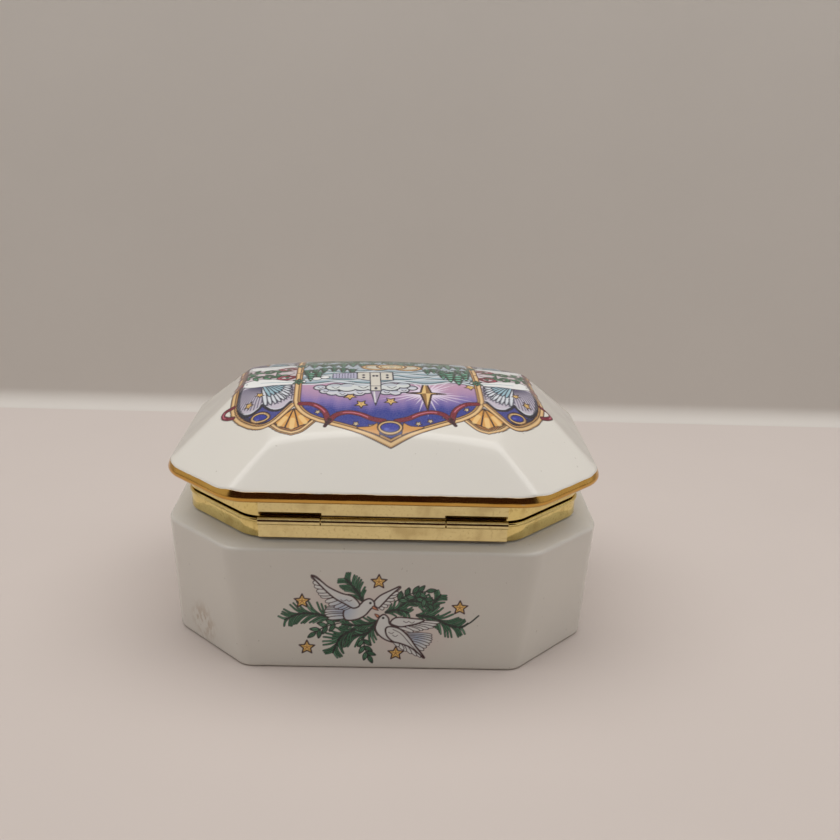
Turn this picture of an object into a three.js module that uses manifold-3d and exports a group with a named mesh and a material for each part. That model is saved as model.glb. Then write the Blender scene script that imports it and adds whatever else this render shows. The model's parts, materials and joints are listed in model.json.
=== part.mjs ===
// A hinged porcelain trinket box: an octagonal base and a faceted, domed lid, each with a brass
// collar round its mouth, joined by a long piano hinge at the back and held by a snap clasp in front.
// Millimetres, +Z up. The origin is on the resting plane under the middle of the box. The hinge is at
// +Y, the clasp at -Y, and the long side runs along X.

import * as THREE from 'three';
import { mergeVertices } from 'three/addons/utils/BufferGeometryUtils.js';
import Module from 'manifold-3d';

const wasm = await Module();
wasm.setup();

// ---- Driving dimensions ----

// An outline is an octagon: half its width and half its depth, the leg of its 45 degree corner cuts,
// and the radius that rounds its eight corners.
const BASE_FOOT = { x: 53.5, y: 40.2, leg: 19.6, radius: 5.5 };
const BASE_TOP = { x: 54.8, y: 41.0, leg: 17.8, radius: 8.0 };
const COLLAR = { x: 49.9, y: 37.0, leg: 17.7, radius: 8.6 };
const RIM = { x: 54.6, y: 42.5, leg: 17.8, radius: 12.0 };

const CLEARANCE = 0.3;
const PORCELAIN = 3.6;

const WALL_TOP = 31.9;
const CAVITY_TOP = 29.8;
const SHOULDER_RADIUS = 1.0;
const SHOULDER_TOP = 33.9;
const FLOOR_TOP = 5.0;
const FLOOR_FILLET = 4.0;
const FOOT_RECESS = 1.2;
const FOOT_WIDTH = 3.2;
const FOOT_RADIUS = 0.9;

const RIM_HEIGHT = 46.2;
const RIM_RADIUS = 1.1;
const RIM_RISE = 2.0;
const LID_TOP = 66.0;
const LID_UNDERSIDE = 44.9;
const DOME_X = 0.0015;
const DOME_Y = 0.0074;
const FACET_START = 47.4;
const SIDE_SLOPE = 0.99;
const END_SLOPE = 0.93;
const CORNER_SLOPE = 0.71;
const CREASE_AT_RIM = 0.5;
const CREASE_ON_TOP = 0.8;

const SHEET = 0.5;
const SPLIT_LOW = 39.0;
const SPLIT_HIGH = 39.5;
const LIP = 0.45;
const COLLAR_SKIRT = 3.0;
const CEMENT = 0.8;
const NECK = 2.4;
const NECK_ROUND = 0.4;

const HINGE_Y = 38.3;
const HINGE_Z = 39.0;
const HINGE_WIDTH = 60.0;
const CENTRE_KNUCKLE = 30.0;
const KNUCKLE_GAP = 0.3;
const KNUCKLE_RADIUS = 1.0;
const BORE_RADIUS = 0.6;
const PIN_RADIUS = 0.45;
const PIN_OVERHANG = 0.25;
const LEAF_SHEET = 0.6;
const LEAF_FOOT = 34.4;
const LEAF_HEAD = 44.4;

const TONGUE_WIDTH = 12.0;
const TONGUE_SHEET = 0.8;
const TONGUE_STANDOFF = 1.3;
const CATCH_WIDTH = 5.0;
const CATCH_DEPTH = 0.7;

const ARC_STEPS = 4;
const FLAT_STEPS = 1;
const LID_STEPS = 3;
const ROUND_SIDES = 24;

// Depths below the collar's outline of the layers that sit inside its folded channel.
const CEMENT_OUT = SHEET + CLEARANCE;
const NECK_OUT = CEMENT_OUT + CEMENT + CLEARANCE;
const NECK_IN = NECK_OUT + NECK;
const SKIRT_OUT = NECK_IN + CLEARANCE;
const SKIRT_IN = SKIRT_OUT + SHEET;

const BASE_NECK_TOP = SPLIT_LOW - SHEET - CLEARANCE;
const LID_NECK_END = SPLIT_HIGH + SHEET + CLEARANCE;
const COLLAR_FOOT = SHOULDER_TOP + CLEARANCE;
const COLLAR_HEAD = LID_UNDERSIDE - CLEARANCE;

// ---- Materials ----

const porcelain = new THREE.MeshStandardMaterial({ color: 0xe9e6df, roughness: 0.12, metalness: 0 });
const brass = new THREE.MeshStandardMaterial({ color: 0xd9b95c, roughness: 0.25, metalness: 1 });
const cement = new THREE.MeshStandardMaterial({ color: 0xcfc8b8, roughness: 0.9, metalness: 0 });

// ---- Outlines and rings ----

function inset(outline, distance) {
  return {
    x: outline.x - distance,
    y: outline.y - distance,
    leg: outline.leg - distance * (2 - Math.SQRT2),
    radius: Math.max(outline.radius - distance, 1),
  };
}

function scaled(outline, factor) {
  return {
    x: outline.x * factor,
    y: outline.y * factor,
    leg: outline.leg * factor,
    radius: outline.radius * factor,
  };
}

// The outline as points: eight rounded corners, with each flat between them cut into equal steps.
function outlinePoints(outline, steps) {
  const cut = (outline.x + outline.y - outline.leg) / Math.SQRT2;
  const supports = [outline.x, cut, outline.y, cut].map((support) => support - outline.radius);
  const arcs = [];
  for (let side = 0; side < 8; side += 1) {
    const here = supports[side % 4];
    const next = supports[(side + 1) % 4];
    const angle = side * Math.PI / 4;
    const along = (next - here * Math.SQRT1_2) / Math.SQRT1_2;
    const centreX = here * Math.cos(angle) - along * Math.sin(angle);
    const centreY = here * Math.sin(angle) + along * Math.cos(angle);
    const arc = [];
    for (let step = 0; step <= ARC_STEPS; step += 1) {
      const turn = angle + step / ARC_STEPS * Math.PI / 4;
      arc.push([
        centreX + outline.radius * Math.cos(turn),
        centreY + outline.radius * Math.sin(turn),
      ]);
    }
    arcs.push(arc);
  }
  const points = [];
  for (let side = 0; side < 8; side += 1) {
    const start = arcs[side][ARC_STEPS];
    const end = arcs[(side + 1) % 8][0];
    points.push(...arcs[side]);
    for (let step = 1; step < steps; step += 1) {
      const part = step / steps;
      points.push([start[0] + (end[0] - start[0]) * part, start[1] + (end[1] - start[1]) * part]);
    }
  }
  return points;
}

function ring(outline, height, steps = FLAT_STEPS) {
  return outlinePoints(outline, steps).map(([x, y]) => [x, y, height]);
}

function ringOn(outline, heightAt, steps) {
  return outlinePoints(outline, steps).map(([x, y]) => [x, y, heightAt(x, y)]);
}

// One closed body from rings with equal numbers of points. With poles, the first and the last ring
// each close on a point; without them, the last ring joins the first.
function loft(rings, poles) {
  const count = rings[0].length;
  const vertices = rings.flat();
  const faces = [];
  const bands = poles ? rings.length - 1 : rings.length;
  for (let band = 0; band < bands; band += 1) {
    const low = band * count;
    const high = (band + 1) % rings.length * count;
    for (let i = 0; i < count; i += 1) {
      const next = (i + 1) % count;
      faces.push([low + i, low + next, high + next]);
      faces.push([low + i, high + next, high + i]);
    }
  }
  if (poles) {
    const first = vertices.push(poles[0]) - 1;
    const last = vertices.push(poles[1]) - 1;
    const top = (rings.length - 1) * count;
    for (let i = 0; i < count; i += 1) {
      const next = (i + 1) % count;
      faces.push([first, next, i]);
      faces.push([last, top + i, top + next]);
    }
  }
  return facingOut(vertices, faces);
}

function facingOut(vertices, faces) {
  const corner = faces.map((face) => face.map((index) => new THREE.Vector3(...vertices[index])));
  const volume = corner.reduce((sum, [a, b, c]) => sum + a.dot(b.clone().cross(c)), 0);
  const geometry = new THREE.BufferGeometry();
  const order = volume < 0 ? faces.map(([a, b, c]) => [a, c, b]) : faces;
  geometry.setAttribute('position', new THREE.Float32BufferAttribute(vertices.flat(), 3));
  geometry.setIndex(order.flat());
  return geometry;
}

// ---- Joining and cutting ----

function toSolid(geometry) {
  const bare = geometry.clone();
  bare.deleteAttribute('normal');
  bare.deleteAttribute('uv');
  const merged = mergeVertices(bare, 1e-4);
  return new wasm.Manifold(new wasm.Mesh({
    numProp: 3,
    vertProperties: new Float32Array(merged.attributes.position.array),
    triVerts: new Uint32Array(merged.index.array),
  }));
}

function toGeometry(solid) {
  const mesh = solid.getMesh();
  const geometry = new THREE.BufferGeometry();
  geometry.setAttribute('position', new THREE.Float32BufferAttribute(mesh.vertProperties, 3));
  geometry.setIndex(Array.from(mesh.triVerts));
  return geometry;
}

function joined(pieces) {
  return pieces.map(toSolid).reduce((whole, piece) => whole.add(piece));
}

function boxBetween(low, high) {
  const box = new THREE.BoxGeometry(high[0] - low[0], high[1] - low[1], high[2] - low[2]);
  return box.translate((low[0] + high[0]) / 2, (low[1] + high[1]) / 2, (low[2] + high[2]) / 2);
}

function rodAlongX(radius, fromX, toX) {
  const rod = new THREE.CylinderGeometry(radius, radius, toX - fromX, ROUND_SIDES);
  return rod.rotateZ(Math.PI / 2).translate((fromX + toX) / 2, HINGE_Y, HINGE_Z);
}

// A strip that runs along X, from its section as [y, z] points.
function stripAlongX(section, width) {
  const shape = new THREE.Shape(section.map(([y, z]) => new THREE.Vector2(y, z)));
  const strip = new THREE.ExtrudeGeometry(shape, { depth: width, bevelEnabled: false });
  strip.applyMatrix4(new THREE.Matrix4().set(
    0, 0, 1, -width / 2,
    1, 0, 0, 0,
    0, 1, 0, 0,
    0, 0, 0, 1,
  ));
  return strip;
}

// ---- Porcelain ----

// An octagonal cup on a foot ring. Its wall leans out a little, turns in over a round shoulder and
// ends in a narrow neck that carries the lower collar.
function baseBody() {
  const rings = [];
  const footInner = FOOT_RADIUS + FOOT_WIDTH;
  rings.push(ring(inset(BASE_FOOT, footInner + FOOT_RECESS), FOOT_RECESS));
  rings.push(ring(inset(BASE_FOOT, footInner), 0));
  for (const turn of [0, 1, 2, 3]) {
    const angle = turn / 3 * Math.PI / 2;
    const depth = FOOT_RADIUS * (1 - Math.sin(angle));
    rings.push(ring(inset(BASE_FOOT, depth), FOOT_RADIUS * (1 - Math.cos(angle))));
  }
  for (const turn of [0, 1, 2, 3]) {
    const angle = turn / 3 * Math.PI / 2;
    const depth = SHOULDER_RADIUS * (1 - Math.cos(angle));
    rings.push(ring(inset(BASE_TOP, depth), WALL_TOP + SHOULDER_RADIUS * Math.sin(angle)));
  }
  rings.push(ring(inset(COLLAR, SHEET), SHOULDER_TOP));
  rings.push(ring(inset(COLLAR, NECK_OUT), SHOULDER_TOP));
  rings.push(ring(inset(COLLAR, NECK_OUT), BASE_NECK_TOP - NECK_ROUND));
  rings.push(ring(inset(COLLAR, NECK_OUT + NECK_ROUND), BASE_NECK_TOP));
  rings.push(ring(inset(COLLAR, NECK_IN - NECK_ROUND), BASE_NECK_TOP));
  rings.push(ring(inset(COLLAR, NECK_IN), BASE_NECK_TOP - NECK_ROUND));
  rings.push(ring(inset(COLLAR, NECK_IN), SHOULDER_TOP));
  rings.push(ring(inset(BASE_TOP, PORCELAIN), CAVITY_TOP));
  for (const turn of [0, 1, 2, 3]) {
    const angle = turn / 3 * Math.PI / 2;
    const depth = PORCELAIN + FLOOR_FILLET * (1 - Math.cos(angle));
    const height = FLOOR_TOP + FLOOR_FILLET * (1 - Math.sin(angle));
    rings.push(ring(inset(BASE_FOOT, depth), height));
  }
  return loft(rings, [[0, 0, FOOT_RECESS], [0, 0, FLOOR_TOP]]);
}

// The softness of the lid's creases, which grows from the rim towards the top.
function creaseAt(x, y) {
  const reach = Math.hypot((x / RIM.x) ** 2, (y / RIM.y) ** 2) ** 0.5;
  return CREASE_ON_TOP + (CREASE_AT_RIM - CREASE_ON_TOP) * THREE.MathUtils.smoothstep(reach, 0.7, 1);
}

// The lid's height: a low dome cut by eight sloping facets, with every crease softly rounded. The
// inner face is the same surface, moved in by the thickness of the wall.
function lidHeight(x, y, wall) {
  const across = Math.abs(x);
  const deep = Math.abs(y);
  const crease = creaseAt(x, y);
  const cut = (RIM.x + RIM.y - RIM.leg - across - deep) / Math.SQRT2;
  const facet = (run, slope) => FACET_START + run * slope - wall * Math.hypot(1, slope);
  const surfaces = [
    LID_TOP - wall - DOME_X * x * x - DOME_Y * y * y,
    facet(RIM.y - deep, SIDE_SLOPE),
    facet(RIM.x - across, END_SLOPE),
    facet(cut, CORNER_SLOPE),
  ];
  return -crease * Math.log(surfaces.reduce((sum, height) => sum + Math.exp(-height / crease), 0));
}

// A faceted dome with a round rim, and a neck under it that carries the upper collar.
function lidShell() {
  const ceiling = (x, y) => lidHeight(x, y, PORCELAIN);
  const outside = (x, y) => lidHeight(x, y, 0);
  const mouth = inset(COLLAR, NECK_IN);
  const rings = [];
  for (const factor of [0.2, 0.4, 0.6, 0.75, 0.88, 1]) {
    rings.push(ringOn(scaled(mouth, factor), ceiling, LID_STEPS));
  }
  rings.push(ring(mouth, LID_NECK_END + NECK_ROUND, LID_STEPS));
  rings.push(ring(inset(COLLAR, NECK_IN - NECK_ROUND), LID_NECK_END, LID_STEPS));
  rings.push(ring(inset(COLLAR, NECK_OUT + NECK_ROUND), LID_NECK_END, LID_STEPS));
  rings.push(ring(inset(COLLAR, NECK_OUT), LID_NECK_END + NECK_ROUND, LID_STEPS));
  rings.push(ring(inset(COLLAR, NECK_OUT), LID_UNDERSIDE, LID_STEPS));
  rings.push(ring(inset(COLLAR, 0), LID_UNDERSIDE, LID_STEPS));
  for (const turn of [-90, -60, -30, 0, 25, 50]) {
    const angle = turn * Math.PI / 180;
    const depth = RIM_RADIUS * (1 - Math.cos(angle));
    const reach = turn < 0 ? RIM_RADIUS : RIM_RISE;
    rings.push(ring(inset(RIM, depth), RIM_HEIGHT + reach * Math.sin(angle), LID_STEPS));
  }
  for (const factor of [0.985, 0.95, 0.88, 0.81, 0.75, 0.7, 0.65, 0.57, 0.44, 0.3, 0.15]) {
    rings.push(ringOn(scaled(RIM, factor), outside, LID_STEPS));
  }
  return loft(rings, [[0, 0, ceiling(0, 0)], [0, 0, outside(0, 0)]]);
}

// ---- Brass collars and their cement ----

function ringFromSection(section) {
  return loft(section.map(([depth, height]) => ring(inset(COLLAR, depth), height)), null);
}

// A channel folded over the base's neck, with a raised lip round its top edge. The lip stops behind
// the hinge, where the leaf is soldered flat to the collar.
function lowerCollar() {
  const channel = ringFromSection([
    [0, COLLAR_FOOT],
    [0, SPLIT_LOW - 1.1],
    [-LIP, SPLIT_LOW - 0.8],
    [-LIP, SPLIT_LOW - 0.2],
    [-0.25, SPLIT_LOW],
    [SKIRT_IN, SPLIT_LOW],
    [SKIRT_IN, SPLIT_LOW - COLLAR_SKIRT],
    [SKIRT_OUT, SPLIT_LOW - COLLAR_SKIRT],
    [SKIRT_OUT, SPLIT_LOW - SHEET],
    [SHEET, SPLIT_LOW - SHEET],
    [SHEET, COLLAR_FOOT],
  ]);
  const reach = HINGE_WIDTH / 2 + CLEARANCE;
  const lipBehindHinge = boxBetween(
    [-reach, COLLAR.y - 0.02, SPLIT_LOW - 1.3],
    [reach, COLLAR.y + 1, SPLIT_LOW + 0.1],
  );
  return toGeometry(toSolid(channel).subtract(toSolid(lipBehindHinge)));
}

function upperCollar() {
  return ringFromSection([
    [0, COLLAR_HEAD],
    [0, SPLIT_HIGH + 0.3],
    [0.3, SPLIT_HIGH],
    [SKIRT_IN, SPLIT_HIGH],
    [SKIRT_IN, SPLIT_HIGH + COLLAR_SKIRT],
    [SKIRT_OUT, SPLIT_HIGH + COLLAR_SKIRT],
    [SKIRT_OUT, SPLIT_HIGH + SHEET],
    [SHEET, SPLIT_HIGH + SHEET],
    [SHEET, COLLAR_HEAD],
  ]);
}

function cementRing(low, high) {
  return ringFromSection([
    [CEMENT_OUT, low],
    [CEMENT_OUT, high],
    [CEMENT_OUT + CEMENT, high],
    [CEMENT_OUT + CEMENT, low],
  ]);
}

// ---- Hinge ----

const leafBack = COLLAR.y + CLEARANCE;
const leafFront = leafBack + LEAF_SHEET;
const kneeX = CENTRE_KNUCKLE / 2;

function knuckle(fromX, toX) {
  return rodAlongX(KNUCKLE_RADIUS, fromX, toX);
}

function bore() {
  return rodAlongX(BORE_RADIUS, -HINGE_WIDTH, HINGE_WIDTH);
}

// The plate soldered to the lower collar, with the two outer knuckles rolled from its top edge.
function lowerHingeLeaf() {
  const plateTop = HINGE_Z - KNUCKLE_RADIUS - KNUCKLE_GAP;
  const pieces = [
    boxBetween([-HINGE_WIDTH / 2, leafBack, LEAF_FOOT], [HINGE_WIDTH / 2, leafFront, plateTop]),
  ];
  for (const side of [-1, 1]) {
    const ends = [side * HINGE_WIDTH / 2, side * (kneeX + KNUCKLE_GAP / 2)].sort((a, b) => a - b);
    pieces.push(boxBetween([ends[0], leafBack, LEAF_FOOT], [ends[1], leafFront, HINGE_Z]));
    pieces.push(knuckle(ends[0], ends[1]));
  }
  return toGeometry(joined(pieces).subtract(toSolid(bore())));
}

// The plate soldered to the upper collar, cut away above the outer knuckles, with the long centre
// knuckle rolled from its bottom edge.
function upperHingeLeaf() {
  const plateFoot = HINGE_Z + KNUCKLE_RADIUS + 3 * KNUCKLE_GAP;
  const end = kneeX - KNUCKLE_GAP / 2;
  const pieces = [
    boxBetween([-HINGE_WIDTH / 2, leafBack, plateFoot], [HINGE_WIDTH / 2, leafFront, LEAF_HEAD]),
    boxBetween([-end, leafBack, HINGE_Z], [end, leafFront, LEAF_HEAD]),
    knuckle(-end, end),
  ];
  return toGeometry(joined(pieces).subtract(toSolid(bore())));
}

function hingePin() {
  const reach = HINGE_WIDTH / 2 + PIN_OVERHANG;
  return rodAlongX(PIN_RADIUS, -reach, reach);
}

// ---- Clasp ----

// A springy tongue soldered to the upper collar. It steps out over the catch and ends in a thumb
// piece that curls away from the box.
function claspTongue() {
  const pad = -(COLLAR.y + CLEARANCE);
  const stand = -(COLLAR.y + TONGUE_STANDOFF);
  return stripAlongX([
    [pad, 44.2],
    [pad, 40.2],
    [stand, 39.4],
    [stand, 36.4],
    [stand - 0.9, 35.2],
    [stand - 2.2, 34.7],
    [stand - 2.4, 35.4],
    [stand - 1.4, 35.8],
    [stand - TONGUE_SHEET, 36.7],
    [stand - TONGUE_SHEET, 39.7],
    [pad - TONGUE_SHEET, 40.6],
    [pad - TONGUE_SHEET, 44.2],
  ], TONGUE_WIDTH);
}

// A small nose on the lower collar that the tongue springs over.
function claspCatch() {
  const back = -(COLLAR.y + CLEARANCE);
  return stripAlongX([
    [back, 36.0],
    [back, 37.8],
    [back - CATCH_DEPTH * 0.6, 37.6],
    [back - CATCH_DEPTH, 37.0],
    [back - CATCH_DEPTH * 0.6, 36.3],
  ], CATCH_WIDTH);
}

// ---- The assembly ----

function named(name, geometry, material) {
  const mesh = new THREE.Mesh(geometry, material);
  mesh.name = name;
  return mesh;
}

const base = new THREE.Group();
base.add(named('base_body', baseBody(), porcelain));
base.add(named('lower_collar', lowerCollar(), brass));
base.add(named('lower_cement', cementRing(COLLAR_FOOT + 0.1, BASE_NECK_TOP), cement));
base.add(named('lower_hinge_leaf', lowerHingeLeaf(), brass));
base.add(named('hinge_pin', hingePin(), brass));
base.add(named('clasp_catch', claspCatch(), brass));

const lid = new THREE.Group();
lid.add(named('lid_shell', lidShell(), porcelain));
lid.add(named('upper_collar', upperCollar(), brass));
lid.add(named('upper_cement', cementRing(LID_NECK_END, COLLAR_HEAD - 0.1), cement));
lid.add(named('upper_hinge_leaf', upperHingeLeaf(), brass));
lid.add(named('clasp_tongue', claspTongue(), brass));

const box = new THREE.Group();
box.add(base, lid);

export default box;
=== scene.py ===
"""A hinged porcelain trinket box: octagonal base, faceted domed lid, brass collars, hinge and clasp.

The row frame is in metres, +Z up, with the hinge at +Y and the clasp at -Y. Shapes and pictures are
worked out in millimetres and turned into metres where a mesh is made.
"""

import json
import math
from collections import namedtuple

import bpy
import numpy as np
from mathutils import Matrix, Vector


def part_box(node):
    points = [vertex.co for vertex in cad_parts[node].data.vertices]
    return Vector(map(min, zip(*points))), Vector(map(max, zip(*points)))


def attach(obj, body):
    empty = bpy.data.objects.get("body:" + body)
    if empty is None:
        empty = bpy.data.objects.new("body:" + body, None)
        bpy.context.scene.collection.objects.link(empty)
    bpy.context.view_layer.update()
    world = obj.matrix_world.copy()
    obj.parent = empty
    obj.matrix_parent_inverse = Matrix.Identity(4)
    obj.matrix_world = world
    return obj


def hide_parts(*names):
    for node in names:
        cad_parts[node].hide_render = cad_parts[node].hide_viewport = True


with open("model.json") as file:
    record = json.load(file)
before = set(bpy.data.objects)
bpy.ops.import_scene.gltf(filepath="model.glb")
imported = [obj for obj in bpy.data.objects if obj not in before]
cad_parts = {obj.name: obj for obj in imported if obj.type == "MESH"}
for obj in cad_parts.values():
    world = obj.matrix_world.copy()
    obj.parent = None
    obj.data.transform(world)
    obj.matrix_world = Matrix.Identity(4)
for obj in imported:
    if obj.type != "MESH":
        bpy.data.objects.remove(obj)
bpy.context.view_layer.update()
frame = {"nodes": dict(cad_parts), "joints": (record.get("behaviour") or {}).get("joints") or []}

MM = 0.001

# ---- Driving dimensions, in millimetres, as in the CAD part ----

# Half width, half depth, leg of the corner cut, and radius of the eight corners.
Outline = namedtuple("Outline", "x y leg radius")


def cad_corner(node, end=1):
    """A CAD node's high corner in millimetres, or its low corner for end 0."""
    return np.array(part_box(node)[end]) / MM


BASE_HIGH = cad_corner("base_body")
LID_HIGH = cad_corner("lid_shell")
COLLAR_HIGH = cad_corner("upper_collar")
PIN_START = cad_corner("hinge_pin", 0)[0]

BASE_TOP = Outline(BASE_HIGH[0], BASE_HIGH[1], 17.8, 8.0)
BASE_FOOT = Outline(BASE_HIGH[0] - 1.3, BASE_HIGH[1] - 0.8, 19.6, 5.5)
COLLAR = Outline(COLLAR_HIGH[0], COLLAR_HIGH[1], 17.7, 8.6)
RIM = Outline(LID_HIGH[0], LID_HIGH[1], 17.8, 12.0)

CLEARANCE = 0.3
PORCELAIN = 3.6
WALL_TOP = 31.9
CAVITY_TOP = 29.8
SHOULDER_RADIUS = 1.0
SHOULDER_TOP = 33.9
FLOOR_TOP = 5.0
FLOOR_FILLET = 4.0
FOOT_RECESS = 1.2
FOOT_WIDTH = 3.2
FOOT_RADIUS = 0.9

RIM_HEIGHT = 46.2
RIM_RADIUS = 1.1
LID_TOP = LID_HIGH[2]
LID_UNDERSIDE = 44.9
DOME_X = 0.0015
DOME_Y = 0.0074
FACET_START = 47.4
SIDE_SLOPE = 0.99
END_SLOPE = 0.93
CORNER_SLOPE = 0.71
CREASE_AT_RIM = 0.5
CREASE_ON_TOP = 0.28

SHEET = 0.5
SPLIT_LOW = 39.0
SPLIT_HIGH = 39.5
LIP = 0.42
COLLAR_SKIRT = 3.0
CEMENT = 0.8
NECK = 2.4
NECK_ROUND = 0.4
NECK_OUT = SHEET + CLEARANCE + CEMENT + CLEARANCE
NECK_IN = NECK_OUT + NECK
SKIRT_OUT = NECK_IN + CLEARANCE
SKIRT_IN = SKIRT_OUT + SHEET
BASE_NECK_TOP = SPLIT_LOW - SHEET - CLEARANCE
LID_NECK_END = SPLIT_HIGH + SHEET + CLEARANCE
COLLAR_FOOT = SHOULDER_TOP + CLEARANCE
COLLAR_HEAD = LID_UNDERSIDE - CLEARANCE

HINGE_Y, HINGE_Z = (np.array(frame["joints"][0]["pos_m"]) / MM)[1:]
HINGE_WIDTH = 60.0
CENTRE_KNUCKLE = 30.0
KNUCKLE_GAP = 0.3
KNUCKLE_RADIUS = 1.0
PIN_RADIUS = 0.45
LEAF_FOOT = 34.4
LEAF_HEAD = 44.4

TONGUE_WIDTH = 12.0
TONGUE_SHEET = 0.8
TONGUE_STANDOFF = 1.3
TONGUE_TOP = 44.1
TONGUE_DROP = 9.0
TONGUE_WAIST = 0.3
CATCH_HALF = 2.5
CATCH_Z = 36.95

STAIN_PLACE = (48.0, 31.5, 6.0)
STAIN_RADIUS = 8.0


# ---- Outlines, rings and skins ----

FLAT_SUPPORTS = (0.02, 0.5, 0.98)


def inset(shape, depth):
    leg = shape.leg - depth * (2 - math.sqrt(2))
    return Outline(shape.x - depth, shape.y - depth, leg, max(shape.radius - depth, 1))


def scaled(shape, factor):
    return Outline(*(size * factor for size in shape))


def corner_arcs(shape, steps):
    """The eight rounded corners of an outline, each as an array of points."""
    cut = (shape.x + shape.y - shape.leg) / math.sqrt(2)
    supports = np.array([shape.x, cut, shape.y, cut]) - shape.radius
    arcs = []
    for side in range(8):
        here, following = supports[side % 4], supports[(side + 1) % 4]
        angle = side * math.pi / 4
        along = following * math.sqrt(2) - here
        centre = np.array([
            here * math.cos(angle) - along * math.sin(angle),
            here * math.sin(angle) + along * math.cos(angle),
        ])
        turns = angle + np.linspace(0, math.pi / 4, steps + 1)
        arcs.append(centre + shape.radius * np.column_stack([np.cos(turns), np.sin(turns)]))
    return arcs


def cornered(shape, steps=12):
    """An outline's points: round corners, and a few support points on each flat."""
    arcs = corner_arcs(shape, steps)
    points = []
    for side in range(8):
        start, end = arcs[side][-1], arcs[(side + 1) % 8][0]
        points.extend(arcs[side])
        points.extend(start + (end - start) * part for part in FLAT_SUPPORTS)
    return np.array(points)


def evenly(shape, count):
    """The outline as points at even spacing, from the middle of its +X side."""
    loop = np.concatenate(corner_arcs(shape, 48))
    loop = np.vstack([[shape.x, 0], loop, [shape.x, 0]])
    steps = np.hypot(*np.diff(loop, axis=0).T)
    travelled = np.concatenate([[0], np.cumsum(steps)])
    places = np.arange(count) / count * travelled[-1]
    return np.column_stack([np.interp(places, travelled, loop[:, axis]) for axis in (0, 1)])


def at_height(points, height):
    return np.column_stack([points, np.full(len(points), float(height))])


def band(first, second, count):
    """Quads between two rings of vertices that start at these indices."""
    here = np.arange(count)
    following = (here + 1) % count
    return np.column_stack([first + here, first + following, second + following, second + here])


def bands(first, rings, count):
    """The quads between rings that follow each other from this index."""
    starts = [first + i * count for i in range(rings)]
    return [band(here, following, count) for here, following in zip(starts, starts[1:])]


def fan(pole, ring, count, turned):
    """Triangles from a pole to a ring, facing the other way when turned."""
    here = ring + np.arange(count)
    following = ring + (np.arange(count) + 1) % count
    pair = [following, here] if turned else [here, following]
    return np.column_stack([np.full(count, pole), *pair])


def grid_quads(rows, columns):
    """The quads of a grid whose points are numbered row by row."""
    index = np.arange(rows * columns).reshape(rows, columns)
    quads = np.stack([index[:-1, :-1], index[:-1, 1:], index[1:, 1:], index[1:, :-1]], -1)
    return quads.reshape(-1, 4)


def new_piece(name, vertices, faces):
    """A smooth-shaded object in metres from points in millimetres."""
    mesh = bpy.data.meshes.new(name)
    mesh.from_pydata((np.asarray(vertices) * MM).tolist(), [], faces)
    mesh.update()
    mesh.shade_smooth()
    piece = bpy.data.objects.new(name, mesh)
    bpy.context.scene.collection.objects.link(piece)
    return piece


def solid(name, vertices, faces):
    """A closed body from groups of faces, turned to point out."""
    piece = new_piece(name, vertices, [face.tolist() for group in faces for face in group])
    if signed_volume(piece.data) < 0:
        piece.data.flip_normals()
    return piece


def signed_volume(mesh):
    mesh.calc_loop_triangles()
    corners = np.zeros(len(mesh.loop_triangles) * 3, np.int32)
    mesh.loop_triangles.foreach_get("vertices", corners)
    places = np.zeros(len(mesh.vertices) * 3)
    mesh.vertices.foreach_get("co", places)
    a, b, c = places.reshape(-1, 3)[corners].reshape(-1, 3, 3).transpose(1, 0, 2)
    return float(np.einsum("ij,ij->i", a, np.cross(b, c)).sum())


def skin(name, rings, poles=None):
    """A closed body from equal rings: two poles cap its ends, or the last ring joins the first."""
    count = len(rings[0])
    vertices = np.vstack(rings)
    faces = bands(0, len(rings), count)
    if poles is None:
        faces.append(band((len(rings) - 1) * count, 0, count))
    else:
        first = len(vertices)
        faces.append(fan(first, 0, count, True))
        faces.append(fan(first + 1, first - count, count, False))
        vertices = np.vstack([vertices, poles])
    return solid(name, vertices, faces)


def quarter(steps):
    return np.linspace(0, math.pi / 2, steps + 1)


def corner_curve(before, corner, after, radius):
    """The points that round a corner of a path, starting and ending at this distance from it."""
    back, ahead = before - corner, after - corner
    reach = min(radius, np.hypot(*back) * 0.45, np.hypot(*ahead) * 0.45)
    start = corner + back / np.hypot(*back) * reach
    end = corner + ahead / np.hypot(*ahead) * reach
    part = np.linspace(0, 1, 4)[:, None]
    return start * (1 - part) ** 2 + corner * 2 * part * (1 - part) + end * part ** 2


def filleted(section, radius):
    """A closed section with each of its corners rounded."""
    section = np.array(section, float)
    corners = zip(np.roll(section, 1, 0), section, np.roll(section, -1, 0))
    return np.vstack([corner_curve(*three, radius) for three in corners])


def softened(path, radius):
    """An open path with its inner corners rounded."""
    path = np.array(path, float)
    corners = [corner_curve(*three, radius) for three in zip(path, path[1:], path[2:])]
    return np.vstack([path[:1], *corners, path[-1:]])


# ---- Pictures, laid on a mesh's points as colour ----

EDGE = 0.12


def ink(red, green, blue):
    """A colour from its 0 to 255 screen values, made linear."""
    value = np.array([red, green, blue]) / 255
    return np.where(value < 0.04045, value / 12.92, ((value + 0.055) / 1.055) ** 2.4)


def curve(points, closed=False, steps=6):
    """A smooth line through the points."""
    points = np.array(points, float)
    if closed:
        padded = np.vstack([points[-1], points, points[:2]])
    else:
        padded = np.vstack([2 * points[0] - points[1], points, 2 * points[-1] - points[-2]])
    smooth = []
    for a, b, c, d in zip(padded, padded[1:], padded[2:], padded[3:]):
        for t in np.arange(steps) / steps:
            smooth.append(0.5 * (2 * b + (c - a) * t + (2 * a - 5 * b + 4 * c - d) * t ** 2
                                 + (3 * b - a - 3 * c + d) * t ** 3))
    if not closed:
        smooth.append(points[-1])
    return np.array(smooth)


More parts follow.
